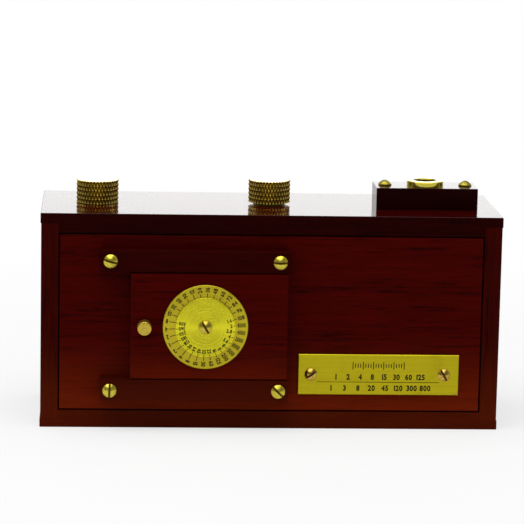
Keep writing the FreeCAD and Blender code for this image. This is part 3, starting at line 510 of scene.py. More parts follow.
def revolved(profile: np.ndarray, inset: np.ndarray, looped: bool = False) -> Patch:
    """Surface of revolution round Z.

    A point is (r cos a, r sin a, z), where r and z come from the profile's row, less the inset of that row
    and column, and a runs once round in equal steps. The profile runs from the top's middle outwards, down
    and back in, so that faces look outwards. Where nothing else is said, a cell is cut along the diagonal
    whose ends differ less in their inset.

    Args:
        profile: Rows of (radius, height). The first and last lie on the axis unless looped.
        inset: How far each point is drawn in, as rows by columns.
        looped: True where the last row joins the first, as on a ring. All its cells are cut alike.

    Returns:
        The closed surface, with the insets as groove values.
    """
    columns = inset.shape[1]
    angle = np.arange(columns) * (2 * math.pi / columns)
    radius = profile[:, :1] - inset
    height = np.repeat(profile[:, 1:], columns, axis=1)
    points = np.stack([radius * np.cos(angle), radius * np.sin(angle), height], axis=-1)
    if not looped:
        points, inset = points[1:-1], inset[1:-1]
    flat, groove = points.reshape(-1, 3), inset.reshape(-1)
    number = np.arange(inset.size).reshape(inset.shape)
    upper = number if looped else number[:-1]
    lower = np.roll(number, -1, axis=0) if looped else number[1:]
    a, b = upper, np.roll(upper, -1, axis=1)
    c, d = np.roll(lower, -1, axis=1), lower
    lean = (np.abs(groove[a] - groove[c]) > np.abs(groove[b] - groove[d])) & (not looped)
    one = np.where(lean[..., None], np.stack([a, d, b], -1), np.stack([a, d, c], -1))
    two = np.where(lean[..., None], np.stack([b, d, c], -1), np.stack([a, c, b], -1))
    faces = [one.reshape(-1, 3), two.reshape(-1, 3)]
    if not looped:
        top, bottom = len(flat), len(flat) + 1
        flat = np.vstack([flat, [[0, 0, profile[0, 1]], [0, 0, profile[-1, 1]]]])
        groove = np.append(groove, [0.0, 0.0])
        ring, last = number[0], number[-1]
        faces.append(np.stack([np.full(columns, top), ring, np.roll(ring, -1)], -1))
        faces.append(np.stack([np.full(columns, bottom), np.roll(last, -1), last], -1))
    return Patch(flat, np.vstack(faces), groove)


def slab(x: Tuple[float, float], z: Tuple[float, float], y: Tuple[float, float]) -> Patch:
    """Thin bar from corner to corner: eight points and twelve triangles.

    Args:
        x: Its left and right ends.
        z: Its lower and upper ends.
        y: Its front and back.

    Returns:
        The closed bar.
    """
    points = np.array([(px, py, pz) for px in x for py in y for pz in z])
    faces = np.array([(0, 1, 3), (0, 3, 2), (4, 6, 7), (4, 7, 5), (0, 4, 5), (0, 5, 1),
                      (2, 3, 7), (2, 7, 6), (0, 2, 6), (0, 6, 4), (1, 5, 7), (1, 7, 3)])
    return Patch(points, faces, np.zeros(8))


def together(patches: Sequence[Patch]) -> Patch:
    """The patches as one, each keeping its own vertices."""
    starts = np.cumsum([0] + [len(patch.points) for patch in patches[:-1]])
    return Patch(np.vstack([patch.points for patch in patches]),
                 np.vstack([patch.faces + start for patch, start in zip(patches, starts)]),
                 np.concatenate([patch.groove for patch in patches]))


def placed(patch: Patch, matrix: Matrix) -> Patch:
    """The patch with each point turned and moved by the matrix."""
    array = np.array(matrix)
    return Patch(patch.points @ array[:3, :3].T + array[:3, 3], patch.faces, patch.groove)


def made_piece(name: str, patch: Patch, finish: Finish, body: str,
               replaces: Sequence[str] = (), sharp_degrees: float = 30.0) -> bpy.types.Object:
    """Puts a patch into the scene as a piece.

    Args:
        name: The piece's name.
        patch: Its surface, in metres and in place.
        finish: Its finish.
        body: The body that it rides on.
        replaces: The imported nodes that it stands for.
        sharp_degrees: Edges that turn more than this stay sharp.

    Returns:
        The object.
    """
    mesh = bpy.data.meshes.new(name)
    count = len(patch.faces)
    mesh.vertices.add(len(patch.points))
    mesh.vertices.foreach_set("co", patch.points.astype(np.float32).ravel())
    mesh.loops.add(3 * count)
    mesh.loops.foreach_set("vertex_index", patch.faces.astype(np.int32).ravel())
    mesh.polygons.add(count)
    mesh.polygons.foreach_set("loop_start", np.arange(0, 3 * count, 3, dtype=np.int32))
    mesh.update(calc_edges=True)
    mesh.validate()
    groove = mesh.attributes.new("groove", "FLOAT", "POINT")
    groove.data.foreach_set("value", patch.groove.astype(np.float32))
    mesh.shade_smooth()
    mesh.set_sharp_from_angle(angle=math.radians(sharp_degrees))
    mesh.materials.append(finish.material())
    piece = bpy.data.objects.new(name, mesh)
    bpy.context.scene.collection.objects.link(piece)
    if replaces:
        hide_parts(*replaces)
    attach(piece, body)
    LOG.info("%s: %d triangles on %s", name, count, body)
    return piece


def dress(frame: Dict[str, Any], finish: Finish, *nodes: str) -> None:
    """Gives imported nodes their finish.

    Args:
        finish: The finish.
        nodes: Names of the nodes.
    """
    for node in nodes:
        for slot in frame["nodes"][node].material_slots:
            slot.material = finish.material()
        LOG.info("%s: %s", node, finish.name)


def middle(node: str) -> Vector:
    """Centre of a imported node's box."""
    low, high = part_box(node)
    return (low + high) / 2


def radius_of(node: str) -> float:
    """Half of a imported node's width."""
    low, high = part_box(node)
    return (high.x - low.x) / 2


def in_mm(place: Vector) -> Tuple[float, float, float]:
    """A place in millimetres, as a finish takes it."""
    return tuple(part / MM for part in place)


@dataclass(frozen=True)
class Lettering:
    """Plain bold figures as thin closed solids, from the built-in typeface and an outline for the four.

    The outline's loops are in shares of the em, the outer one anticlockwise and the hole clockwise.
    """

    height: float
    proud: float
    sunk: float = 0.00005
    narrow: float = 0.86
    weight: float = 0.04
    gap: float = 0.06
    four: Tuple[Tuple[Tuple[float, float], ...], ...] = (
        ((0.443, -0.04), (0.443, 0.19), (0.511, 0.19), (0.511, 0.345), (0.443, 0.345), (0.443, 0.731),
         (0.335, 0.731), (-0.03, 0.285), (-0.03, 0.19), (0.265, 0.19), (0.265, -0.04)),
        ((0.265, 0.345), (0.13, 0.345), (0.265, 0.52)))

    def cut_four(self) -> Patch:
        """The four: its outline's loops as front and back faces, with a wall along each loop.

        Returns:
            The closed figure, one unit to the em and one unit thick.
        """
        flat = np.array([corner for loop in self.four for corner in loop])
        count = len(flat)
        fill = np.array(tessellate_polygon([[Vector((x, y, 0)) for x, y in loop] for loop in self.four]))
        one, two = flat[fill[:, 1]] - flat[fill[:, 0]], flat[fill[:, 2]] - flat[fill[:, 0]]
        turned = one[:, 0] * two[:, 1] < one[:, 1] * two[:, 0]
        fill[turned] = fill[turned][:, ::-1]
        faces = [fill, fill[:, ::-1] + count]
        start = 0
        for loop in self.four:
            here = start + np.arange(len(loop))
            after = np.roll(here, -1)
            faces.append(halves(here, here + count, after + count, after))
            start += len(loop)
        sides = [np.column_stack([flat, np.full(count, level)]) for level in (0.5, -0.5)]
        return Patch(np.vstack(sides), np.vstack(faces), np.zeros(2 * count))

    def glyph(self, sign: str) -> Patch:
        """One sign on the XY plane.

        Args:
            sign: The digit or point.

        Returns:
            Its closed figure, one unit to the em and one unit thick.
        """
        if sign == "4":
            return self.cut_four()
        curve = bpy.data.curves.new("figure", "FONT")
        curve.body = sign
        curve.size = 1.0
        curve.resolution_u = 3
        curve.offset = self.weight
        curve.extrude = 0.5
        holder = bpy.data.objects.new("figure", curve)
        mesh = bpy.data.meshes.new_from_object(holder)
        mesh.calc_loop_triangles()
        points = np.zeros(3 * len(mesh.vertices), dtype=np.float32)
        mesh.vertices.foreach_get("co", points)
        faces = np.zeros(3 * len(mesh.loop_triangles), dtype=np.int32)
        mesh.loop_triangles.foreach_get("vertices", faces)
        bpy.data.objects.remove(holder)
        bpy.data.curves.remove(curve)
        bpy.data.meshes.remove(mesh)
        return Patch(points.reshape(-1, 3).astype(float), faces.reshape(-1, 3), np.zeros(len(points) // 3))

    def figure(self, text: str) -> Patch:
        """Signs in a row along X, with their right end at 0, centred on Z and facing -Y.

        Args:
            text: The signs.

        Returns:
            The row as one patch, in metres.
        """
        signs: List[Patch] = []
        cursor = 0.0
        for sign in text:
            patch = self.glyph(sign)
            patch.points[:, 0] += cursor - patch.points[:, 0].min()
            cursor = patch.points[:, 0].max() + self.gap
            signs.append(patch)
        word = together(signs)
        low, high = word.points.min(0), word.points.max(0)
        scale = self.height / (high[1] - low[1])
        x = (word.points[:, 0] - high[0]) * scale * self.narrow
        z = (word.points[:, 1] - (high[1] + low[1]) / 2) * scale
        y = self.sunk - (word.points[:, 2] + 0.5) * (self.sunk + self.proud)
        return Patch(np.stack([x, y, z], axis=-1), word.faces, word.groove)


# Finishes of this camera

# The panel's quirk and the faces behind it carry painted shade.
PANEL_WOOD = VarnishedWood("panel_wood", seed_mm=11.0, quirk_front_mm=-27.7)
SHUTTER_WOOD = VarnishedWood("shutter_wood", seed_mm=57.0)
UPRIGHT_WOOD = VarnishedWood("upright_wood", grain=Axis.Z, seed_mm=91.0, middle=(0.034, 0.0014, 0.0006),
                             light=(0.060, 0.0028, 0.0012), painted_floor_light=(0.110, 0.0130, 0.0018), side_coat=0.15)
BACK_WOOD = VarnishedWood("back_wood", seed_mm=42.0, side_coat=0.15)
RAIL_WOOD = VarnishedWood("rail_wood", seed_mm=33.0, middle=(0.021, 0.0007, 0.0004),
                          light=(0.040, 0.0018, 0.0008), painted_floor_light=(0.100, 0.0110, 0.0016))
# Board and block: painted shade on the faces that look forward and up.
BOARD_WOOD = VarnishedWood("board_wood", seed_mm=73.0, front_shade=0.72, top_shade=0.35, top_coat=0.42,
                           side_coat=0.15, roughness=0.16)
BLOCK_WOOD = VarnishedWood("block_wood", seed_mm=21.0, front_shade=0.80, top_shade=0.45, top_coat=0.42,
                           side_coat=0.5, roughness=0.16)
DARK_WOOD = Paint("blackened_wood", base=(0.012, 0.010, 0.009), shade=(0.004, 0.0035, 0.003), roughness=0.7)
ETCHED = Brass("etched_plate", bright=(0.54, 0.46, 0.012), tarnish_and_groove_shade=(0.30, 0.23, 0.008), lay=Lay.BRUSHED,
               roughness=0.36, spots=0.25, spot_scale=0.12, contrast=0.5)
# Screw finishes paint shade in their slots.
SCREW_BRASS = Brass("screw_brass", bright=(0.66, 0.55, 0.060), tarnish_and_groove_shade=(0.10, 0.06, 0.008), roughness=0.28,
                    spots=0.5, spot_scale=0.9, painted_groove_shade=True)
DIAL_BRASS = Brass("dial_screw_brass", bright=(0.60, 0.47, 0.060), tarnish_and_groove_shade=(0.08, 0.05, 0.006),
                   roughness=0.24, spots=0.6, spot_scale=1.2, painted_groove_shade=True)
# Darker brass for the screws on the block.
DARKER_SCREW_BRASS = Brass("darker_screw_brass", bright=(0.30, 0.26, 0.030), tarnish_and_groove_shade=(0.06, 0.035, 0.006), roughness=0.24,
                   spots=0.6, spot_scale=0.9, painted_groove_shade=True)
WARM_BRASS = Brass("warm_brass", bright=(0.60, 0.40, 0.070), tarnish_and_groove_shade=(0.08, 0.035, 0.008), roughness=0.20,
                   spots=0.8, spot_scale=1.0, painted_groove_shade=True)
PLAIN_BRASS = Brass("plain_brass", bright=(0.66, 0.52, 0.110), tarnish_and_groove_shade=(0.34, 0.24, 0.045), roughness=0.28)
STAINED_BRASS = Brass("stained_brass", bright=(0.20, 0.14, 0.025), tarnish_and_groove_shade=(0.05, 0.03, 0.006),
                      roughness=0.34)
PIN_BRASS = Brass("pin_brass", bright=(0.66, 0.48, 0.065), tarnish_and_groove_shade=(0.30, 0.18, 0.020), roughness=0.36,
                  spots=0.9, spot_scale=1.6)
FIGURE_FILL = Paint("figure_fill", base=(0.012, 0.007, 0.002), shade=(0.006, 0.004, 0.001), specular=0.1)
DARK_BRASS = Paint("blackened_brass", base=(0.016, 0.013, 0.010), shade=(0.006, 0.005, 0.004), roughness=0.45)
SPRING = Steel("spring_steel")
SPOOL_BLACK = Paint("spool_plastic", base=(0.014, 0.014, 0.015), shade=(0.009, 0.009, 0.010),
                    roughness=0.38, scale=1.2, depth_mm=0.005, specular=0.5)
FELT = Paint("black_felt", base=(0.011, 0.011, 0.011), shade=(0.004, 0.004, 0.004), roughness=0.8,
             scale=6.0, depth_mm=0.12, sheen=0.3)
RUBY = RubyGlass("ruby")
# Painted sheen: pale colour for the tops of the knobs and the bush.
PAINTED_TOP_SHEEN = (0.74, 0.62, 0.24)


# Sub-assemblies

@dataclass
class SlottedScrews:
    """Slotted brass screws with domed heads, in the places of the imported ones."""

    node: str
    body: str
    facing: Facing
    turns: Tuple[float, ...]
    head: float
    height: float
    shank: float
    length: float
    finish: Finish
    slot_width: float = 0.80 * MM
    slot_depth_share: float = 0.66
    rim_share: float = 0.25
    wall: float = 0.03 * MM
    rows: int = 24
    columns: int = 11

    def head_and_shank(self) -> Patch:
        """One screw, its axis on Z and its seat at 0, the slot along X.

        The head's top is a grid: y has fixed values, closer at the slot's walls, and x is a share of the
        chord at that y, so that the grid's edge is the circle. The height is a dome, rim + (height - rim)
        times (1 - (r / R) squared), and inside the slot it is no more than the slot's floor. The edge of the
        grid is then carried down to the seat, in to the shank, down to its end and to its middle.

        Returns:
            The closed screw, whose groove value is 1 in the slot.
        """
        radius = self.head / 2
        half = self.slot_width / 2
        outer = radius * np.sin(np.linspace(math.asin(half / radius), math.pi / 2, self.columns + 1)[1:-1])
        inner = np.linspace(0.0, half - self.wall, 3)[1:]
        side = np.concatenate([inner, [half], outer])
        line = np.concatenate([-side[::-1], [0.0], side])
        share = np.sin(np.linspace(-1.0, 1.0, self.rows + 1) * math.pi / 2)
        y = np.repeat(line[:, None], self.rows + 1, axis=1)
        x = share[None, :] * np.sqrt(radius ** 2 - line[:, None] ** 2)
        rim = self.height * self.rim_share
        dome = rim + (self.height - rim) * (1.0 - (x ** 2 + y ** 2) / radius ** 2)
        inside = np.abs(y) < half - self.wall / 2
        height = np.where(inside, np.minimum(dome, self.height * (1.0 - self.slot_depth_share)), dome)
        number = np.arange(x.size).reshape(x.shape)
        a, b, c, d = number[:-1, :-1], number[:-1, 1:], number[1:, 1:], number[1:, :-1]
        faces = [halves(a, b, c, d)]
        points = [np.stack([x, y, height], -1).reshape(-1, 3)]
        edge = np.concatenate([number[0, :-1], number[:-1, -1], number[-1, :0:-1], number[:0:-1, 0]])
        loop = points[0][edge]
        count, start = len(edge), x.size
        across = loop[:, :2] / np.linalg.norm(loop[:, :2], axis=1, keepdims=True)
        upper = edge
        for reach, level in ((radius, 0.0), (self.shank / 2, 0.0), (self.shank / 2, -self.length)):
            points.append(np.column_stack([across * reach, np.full(count, level)]))
            lower = start + np.arange(count)
            faces.append(halves(upper, lower, np.roll(lower, -1), np.roll(upper, -1)))
            upper, start = lower, start + count
        points.append(np.array([[0.0, 0.0, -self.length]]))
        faces.append(np.stack([np.roll(upper, -1), upper, np.full(count, start)], -1))
        # Groove values mark the slot, where the finish paints shade.
        groove = np.zeros(start + 1)
        groove[:x.size] = np.where(inside, 1.0, 0.0).ravel()
        return Patch(np.vstack(points), np.vstack(faces), groove)

    def ends(self, low: float, high: float) -> List[float]:
        """Places of the screws along one side of the node's box: one at each end, or one in the middle.

        Args:
            low: The side's lower end.
            high: Its upper end.

        Returns:
            The places of the screws' axes.
        """
        if high - low > 1.5 * self.head:
            return [low + self.head / 2, high - self.head / 2]
        return [(low + high) / 2]

    def places(self) -> List[Tuple[float, float, float]]:
        """Seats of the screws, row by row from the top left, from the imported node's box.

        Returns:
            The middle of each seat.
        """
        low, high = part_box(self.node)
        across = self.ends(low.x, high.x)
        if self.facing is Facing.UP:
            return [(x, (low.y + high.y) / 2, high.z - self.height) for x in across]
        seat = low.y + self.height if self.facing is Facing.FRONT else high.y - self.height
        return [(x, seat, z) for z in self.ends(low.z, high.z)[::-1] for x in across]

    def build(self) -> None:
        """All screws of the node, each with its slot turned from level, anticlockwise seen from its head."""
        screw = self.head_and_shank()
        patches = []
        for place, turn in zip(self.places(), self.turns):
            lay = self.facing.value @ Matrix.Rotation(math.radians(turn), 4, "Z")
            patches.append(placed(screw, Matrix.Translation(place) @ lay))
        made_piece(self.node + "_slotted", together(patches), self.finish, self.body,
                   [self.node])


@dataclass
class Casing:
    """The wooden box, its front panel and the walls inside."""

    def dress(self, frame: Dict[str, Any]) -> None:
        """Long grain on the boards and the panel, upright grain on the side boards, black inside.
        """
        dress(frame, BOARD_WOOD, "top_board")
        dress(frame, RAIL_WOOD, "bottom_board")
        dress(frame, PANEL_WOOD, "front_panel")
        dress(frame, UPRIGHT_WOOD, "left_side_board", "right_side_board")
        dress(frame, DARK_WOOD, "left_partition", "right_partition", "upper_gate_strip", "lower_gate_strip",
              "left_batten", "right_batten", "left_nut_guide", "right_nut_guide")
        dress(frame, PLAIN_BRASS, "pinhole_plate")
        dress(frame, DARK_BRASS, "pinhole_retainer")


@dataclass
class ExposureDial:
    """Two brass plates with plain figures and ticks round them, on the shutter."""

    figures_apart_degrees: float = 12.0
    first_degrees: float = 3.5
    ring_outer: float = 14.75 * MM
    disc_outer: float = 9.85 * MM
    tick_width: float = 0.26 * MM
    tick_gap: float = 0.35 * MM
    ring_tick_start: float = 0.05 * MM
    disc_tick_end: float = 0.20 * MM
    proud: float = 0.02 * MM
    ring_digit: float = 1.65 * MM
    disc_digit: float = 1.40 * MM
    ring_numbers: Tuple[str, ...] = (
        "8000", "4000", "2000", "1000", "500", "250", "125", "60", "30", "15", "8", "4", "2", "1",
        "2", "4", "8", "15", "30", "60", "90", "12", "24", "36", "48", "60", "72", "84", "96", "108")
    disc_numbers: Tuple[str, ...] = (
        "1.4", "2", "2.8", "4", "5.6", "8", "11", "16", "22", "32", "45", "64", "90", "128", "180",
        "250", "360", "500")

    def spoke(self, centre: Vector, front: float, degrees: float) -> Matrix:
        """Matrix that lays +X on the spoke at an angle from level, anticlockwise seen from the front."""
        turn = Matrix.Rotation(-math.radians(degrees), 4, "Y")
        return Matrix.Translation((centre.x, front, centre.z)) @ turn

    def scale(self, plate: str, numbers: Sequence[str], start: int, digit: float, outer: float,
              ticks: Tuple[float, float]) -> Patch:
        """Figures that end at the outer radius, each with a tick, narrowed where they would touch the tick.

        Args:
            plate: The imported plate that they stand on.
            numbers: The figures, clockwise.
            start: How many steps before level the first one stands.
            digit: Height of the figures.
            outer: Radius of the figures' outer end.
            ticks: Inner radius of the ticks, and their outer radius or 0 where they reach to the figures.

        Returns:
            All of them as one patch.
        """
        low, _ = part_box(plate)
        letters = Lettering(digit, self.proud)
        patches: List[Patch] = []
        for step, text in enumerate(numbers):
            degrees = self.first_degrees + (start - step) * self.figures_apart_degrees
            place = self.spoke(middle(plate), low.y, degrees)
            figure = letters.figure(text)
            room = outer - 2 * self.tick_gap - (ticks[0] if ticks[1] == 0.0 else 0.0)
            figure.points[:, 0] *= min(1.0, -room / figure.points[:, 0].min())
            reach = ticks[1] or outer + figure.points[:, 0].min() - self.tick_gap
            figure.points[:, 0] += outer
            half = self.tick_width / 2
            tick = slab((ticks[0], max(reach, ticks[0] + self.tick_gap)), (-half, half),
                        (-self.proud, letters.sunk))
            patches += [placed(figure, place), placed(tick, place)]
        return together(patches)

    def build(self) -> None:
        """Figures and ticks of the ring and of the disc."""
        disc_edge = radius_of("dial_disc")
        ring = self.scale("dial_ring", self.ring_numbers, 0, self.ring_digit, self.ring_outer,
                          (disc_edge + self.ring_tick_start, 0.0))
        made_piece("dial_ring_figures", ring, FIGURE_FILL, "dial_ring")
        disc = self.scale("dial_disc", self.disc_numbers, 1, self.disc_digit, self.disc_outer,
                          (self.disc_outer + self.tick_gap, disc_edge - self.disc_tick_end))
        made_piece("dial_disc_figures", disc, FIGURE_FILL, "dial_disc")

    def dress(self, frame: Dict[str, Any]) -> None:
        """Turned brass plates with fine grooves.
        """
        turned = {"lay": Lay.TURNED, "axis": Axis.Y, "centre_mm": in_mm(middle("dial_ring")), "spots": 0.45}
        ring = Brass("dial_ring_brass", bright=(0.54, 0.44, 0.024), tarnish_and_groove_shade=(0.26, 0.18, 0.010),
                     roughness=0.26, spot_scale=0.15, marks=0.20, **turned)
        disc = Brass("dial_disc_brass", bright=(0.73, 0.67, 0.026), tarnish_and_groove_shade=(0.40, 0.33, 0.014),
                     roughness=0.22, spot_scale=0.10, marks=0.36, **turned)
        dress(frame, ring, "dial_ring")
        dress(frame, disc, "dial_disc")


@dataclass
class Shutter:
    """The sliding plate, its rails and its pull pin."""

    dial: ExposureDial = field(default_factory=ExposureDial)

    def dress(self, frame: Dict[str, Any]) -> None:
        """Level grain on the rails and the plate.
        """
        dress(frame, RAIL_WOOD, "upper_rail", "lower_rail")
        dress(frame, SHUTTER_WOOD, "shutter_plate")
        dress(frame, PIN_BRASS, "shutter_pin")
        self.dial.dress(frame)


@dataclass
class ExposurePlate:
    """Brass plate on the front panel with a short scale, two rows of plain figures and a rule.

    A row is its height and its width in millimetres, and its numbers.
    """

    rows: Tuple[Tuple[float, float, str], ...] = ((19.95, 31.5, "1 2 4 8 15 30 60 125"),
                                                  (15.75, 35.0, "1 3 8 20 45 120 300 800"))
    digit_height: float = 2.2 * MM
    proud: float = 0.02 * MM
    rule_height: float = 18.0 * MM
    rule_inset: float = 7.2 * MM
    rule_width: float = 0.20 * MM
    scale_height: float = 24.2 * MM
    scale_ticks: int = 21
    ticks_per_step: int = 4
    tall_tick: float = 2.8 * MM
    short_tick: float = 1.5 * MM
    scale_pitch: float = 0.95 * MM
    tick_width: float = 0.32 * MM

    def build(self) -> None:
        """The scale, the rows and the rule as one piece of filling."""
        low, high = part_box("label_plate")
        centre = (low.x + high.x) / 2
        letters = Lettering(self.digit_height, self.proud)
        deep = (low.y - self.proud, low.y + letters.sunk)
        rule = (self.rule_height - self.rule_width / 2, self.rule_height + self.rule_width / 2)
        patches = [slab((low.x + self.rule_inset, high.x - self.rule_inset), rule, deep)]
        for height, width, text in self.rows:
            figures = [letters.figure(word) for word in text.split()]
            for step, figure in enumerate(figures):
                share = step / (len(figures) - 1) - 0.5
                shift = centre + share * width * MM - figure.points[:, 0].min() / 2
                patches.append(placed(figure, Matrix.Translation((shift, low.y, height * MM))))
        side = self.tick_width / 2
        for tick in range(self.scale_ticks):
            x = centre + (tick - (self.scale_ticks - 1) / 2) * self.scale_pitch
            half = (self.short_tick if tick % self.ticks_per_step else self.tall_tick) / 2
            upright = (self.scale_height - half, self.scale_height + half)
            patches.append(slab((x - side, x + side), upright, deep))
        made_piece("plate_figures", together(patches), FIGURE_FILL, "casing")

    def dress(self, frame: Dict[str, Any]) -> None:
        """Brushed plate."""
        dress(frame, ETCHED, "label_plate")


@dataclass
class KnurledKnob:
    """Brass knob with a diamond knurl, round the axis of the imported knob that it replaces."""

    node: str
    body: str
    hole: float
    knurls: int = 38
    knurl_rows: int = 5
    knurl_depth: float = 0.66 * MM
    flat: float = 0.06
    fine: int = 6
    rim: float = 0.22 * MM
    foot_chamfer: float = 0.15 * MM
    socket_depth: float = 6.0 * MM
    crown_rings: Tuple[float, ...] = (0.0, 0.3, 0.6)
    sharp_degrees: float = 20.0

    def knurl(self, u: np.ndarray, v: np.ndarray) -> np.ndarray:
        """Depth of the knurl, 0 on a tip and 1 in a groove.

        Two families of grooves cross at u + v and u - v equal to a whole number and a half. The depth at a
        point rises evenly from the flat tip in the middle of a cell to the nearer groove.

        Args:
            u: Place round the knob, in knurls.
            v: Place down the knob, in knurls.

        Returns:
            The depth at each place.
        """
        first, second = u + v, u - v
        away = np.maximum(np.abs(first - np.round(first)), np.abs(second - np.round(second)))
        return np.clip((2.0 * away - self.flat) / (1.0 - self.flat), 0.0, 1.0)

    def build(self) -> None:
        """Profile from the top, over the rim, down the knurl, under the foot and up the hole."""
        low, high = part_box(self.node)
        radius = (high.x - low.x) / 2
        top, foot = high.z, low.z
        crown = [(radius * share, top) for share in self.crown_rings]
        crown += [(radius - 2 * self.rim, top), (radius - self.rim, top)]
        start, end = top - self.rim, foot + self.foot_chamfer
        steps = self.knurl_rows * self.fine
        band = [(radius, start + (end - start) * i / steps) for i in range(steps + 1)]
        ceiling = foot + self.socket_depth
        below = [(radius - self.knurl_depth - self.rim, foot), (self.hole, foot), (self.hole, ceiling),
                 (0, ceiling)]
        profile = np.array(crown + band + below)
        columns = self.knurls * 2 * self.fine
        u = np.arange(columns) / (2 * self.fine)
        v = np.arange(steps + 1) / (2 * self.fine)
        depth = self.knurl(u[None, :], v[:, None])
        inset = np.zeros((len(profile), columns))
        inset[len(crown):len(crown) + steps + 1] = depth
        inset[len(crown) - 1] = np.clip(depth[0] - self.rim / self.knurl_depth, 0.0, 1.0)
        patch = revolved(profile, inset * self.knurl_depth)
        patch.groove = patch.groove / self.knurl_depth
        centre = middle(self.node)
        patch = placed(patch, Matrix.Translation((centre.x, centre.y, 0)))
        # Painted shade in the knurl's grooves, and a painted sheen on the knob's top.
        finish = Brass(self.node + "_brass", bright=(0.88, 0.66, 0.13), tarnish_and_groove_shade=(0.050, 0.020, 0.004),
                       lay=Lay.TURNED, axis=Axis.Z, centre_mm=in_mm(centre), roughness=0.20, painted_groove_shade=True,
                       spots=0.2, spot_scale=0.3, crown=PAINTED_TOP_SHEEN)
        made_piece(self.node + "_knurled", patch, finish, self.body, [self.node],
                   self.sharp_degrees)


@dataclass
class FilmTransport:
    """Winder, spools' pins, plunger and take-up spool."""

    def dress(self, frame: Dict[str, Any]) -> None:
        """Brass fittings and a black spool."""
        dress(frame, PLAIN_BRASS, "winding_shaft", "winder_bush", "takeup_pin", "supply_pin",
              "supply_plunger", "plunger_retainer")
        dress(frame, SPOOL_BLACK, "takeup_spool")


@dataclass
class PlungerSpring:
    """Coil of flat strip that closes up as the plunger goes in."""

    turns: float = 3.5
    steps_per_turn: int = 32
    strip_width: float = 0.6 * MM
    strip_thick: float = 0.45 * MM
    travel: float = 2.4 * MM

    def build(self) -> None:
        """The strip carried along its helix.

        A point is (r cos t, r sin t, z), where t runs evenly through the turns, the strip's middle climbs
        evenly with t, and r and z are the middle's plus half the strip's width and thickness either way.
        """
        low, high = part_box("plunger_spring")
        centre = (low + high) / 2
        across, up = self.strip_width / 2, self.strip_thick / 2
        mean = (high.x - low.x) / 2 - across
        steps = int(self.turns * self.steps_per_turn)
        share = np.arange(steps + 1) / steps
        angle = share * self.turns * 2 * math.pi
        climb = low.z + up + share * (high.z - low.z - 2 * up)
        radius = mean + np.array([-across, across, across, -across])
        height = climb[:, None] + np.array([-up, -up, up, up])
        points = np.stack([radius * np.cos(angle)[:, None] + centre.x,
                           radius * np.sin(angle)[:, None] + centre.y, height], axis=-1)
        number = np.arange(points.shape[0] * 4).reshape(-1, 4)
        a, b = number[:-1], number[1:]
        c, d = np.roll(b, -1, axis=1), np.roll(a, -1, axis=1)
        start, end = number[0], number[-1]
        faces = np.vstack([halves(a, b, c, d),
                           [start[[0, 1, 2]], start[[0, 2, 3]], end[[0, 2, 1]], end[[0, 3, 2]]]])
        patch = Patch(points.reshape(-1, 3), faces, np.zeros(points.shape[0] * 4))
        coil = made_piece("plunger_spring_coil", patch, SPRING, "casing", ["plunger_spring"])
        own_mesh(coil)


@dataclass
class Back:
    """The back panel with its film window, and the lock that holds it."""

    def dress(self, frame: Dict[str, Any]) -> None:
        """Wood outside, felt inside, brass lock.
        """
        dress(frame, BACK_WOOD, "back_panel")
        dress(frame, PLAIN_BRASS, "back_bracket", "window_cover", "lock_nut")
        dress(frame, SCREW_BRASS, "bracket_screws")
        dress(frame, FELT, "pressure_plate")
        dress(frame, RUBY, "ruby_window")
        dress(frame, STAINED_BRASS, "lock_washer", "lock_stud")
        dress(frame, SPRING, "lock_clip")


@dataclass
class TripodBlock:
    """Wooden block on the top with a threaded bush."""

    pitch: float = 1.5875 * MM
    thread_depth: float = 0.62 * MM
    mouth: float = 0.5 * MM
    barrel: float = 6.0 * MM
    bore: float = 3.97 * MM
    chamfer: float = 0.3 * MM
    sharp_degrees: float = 35.0
    rows_per_turn: int = 12
    columns: int = 96

    def build(self) -> None:
        """The bush with its thread cut.

        The bore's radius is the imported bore's, plus a depth that rises and falls evenly once each pitch, and
        the wave climbs by one pitch in a turn. It fades out at both mouths.
        """
        low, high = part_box("socket_bush")
        centre = middle("socket_bush")
        ring = (high.x - low.x) / 2
        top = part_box("socket_block")[1].z
        crown, foot = high.z, low.z
        outside = [(self.bore + self.mouth, crown), (ring - self.chamfer, crown),
                   (ring, crown - self.chamfer), (ring, top), (self.barrel, top), (self.barrel, foot),
                   (self.bore, foot)]
        count = int(round((crown - foot) / self.pitch * self.rows_per_turn))
        heights = foot + (crown - self.mouth - foot) * np.arange(1, count + 1) / count
        inside = [(self.bore, height) for height in heights]
        profile = np.array(outside + inside)
        angle = np.arange(self.columns) / self.columns
        phase = heights[:, None] / self.pitch - angle[None, :]
        wave = 1.0 - np.abs(2.0 * (phase - np.floor(phase)) - 1.0)
        fade = np.clip(np.minimum(heights - foot, crown - self.mouth - heights) / self.pitch, 0.0, 1.0)
        inset = np.zeros((len(profile), self.columns))
        inset[len(outside):] = -wave * fade[:, None] * self.thread_depth
        patch = revolved(profile, inset, looped=True)
        # Painted shade: the thread's grooves and the whole bore are marked dark.
        patch.groove = np.clip(-patch.groove / self.thread_depth + 0.15, 0.0, 1.0)
        wall = self.bore + self.thread_depth + self.mouth / 2
        on_bore = np.linalg.norm(patch.points[:, :2], axis=1) < wall
        patch.groove = np.where(on_bore, np.maximum(patch.groove, 0.85), 0.0)
        patch = placed(patch, Matrix.Translation((centre.x, centre.y, 0)))
        # Painted sheen on the bush's top.
        finish = Brass("bush_brass", bright=(0.58, 0.49, 0.060), tarnish_and_groove_shade=(0.12, 0.10, 0.010), lay=Lay.TURNED,
                       axis=Axis.Z, centre_mm=in_mm(centre), roughness=0.10, spots=0.2, painted_groove_shade=True,
                       crown=PAINTED_TOP_SHEEN)
        made_piece("socket_bush_threaded", patch, finish, "casing", ["socket_bush"],
                   self.sharp_degrees)

    def dress(self, frame: Dict[str, Any]) -> None:
        """Dark wood."""
        dress(frame, BLOCK_WOOD, "socket_block")


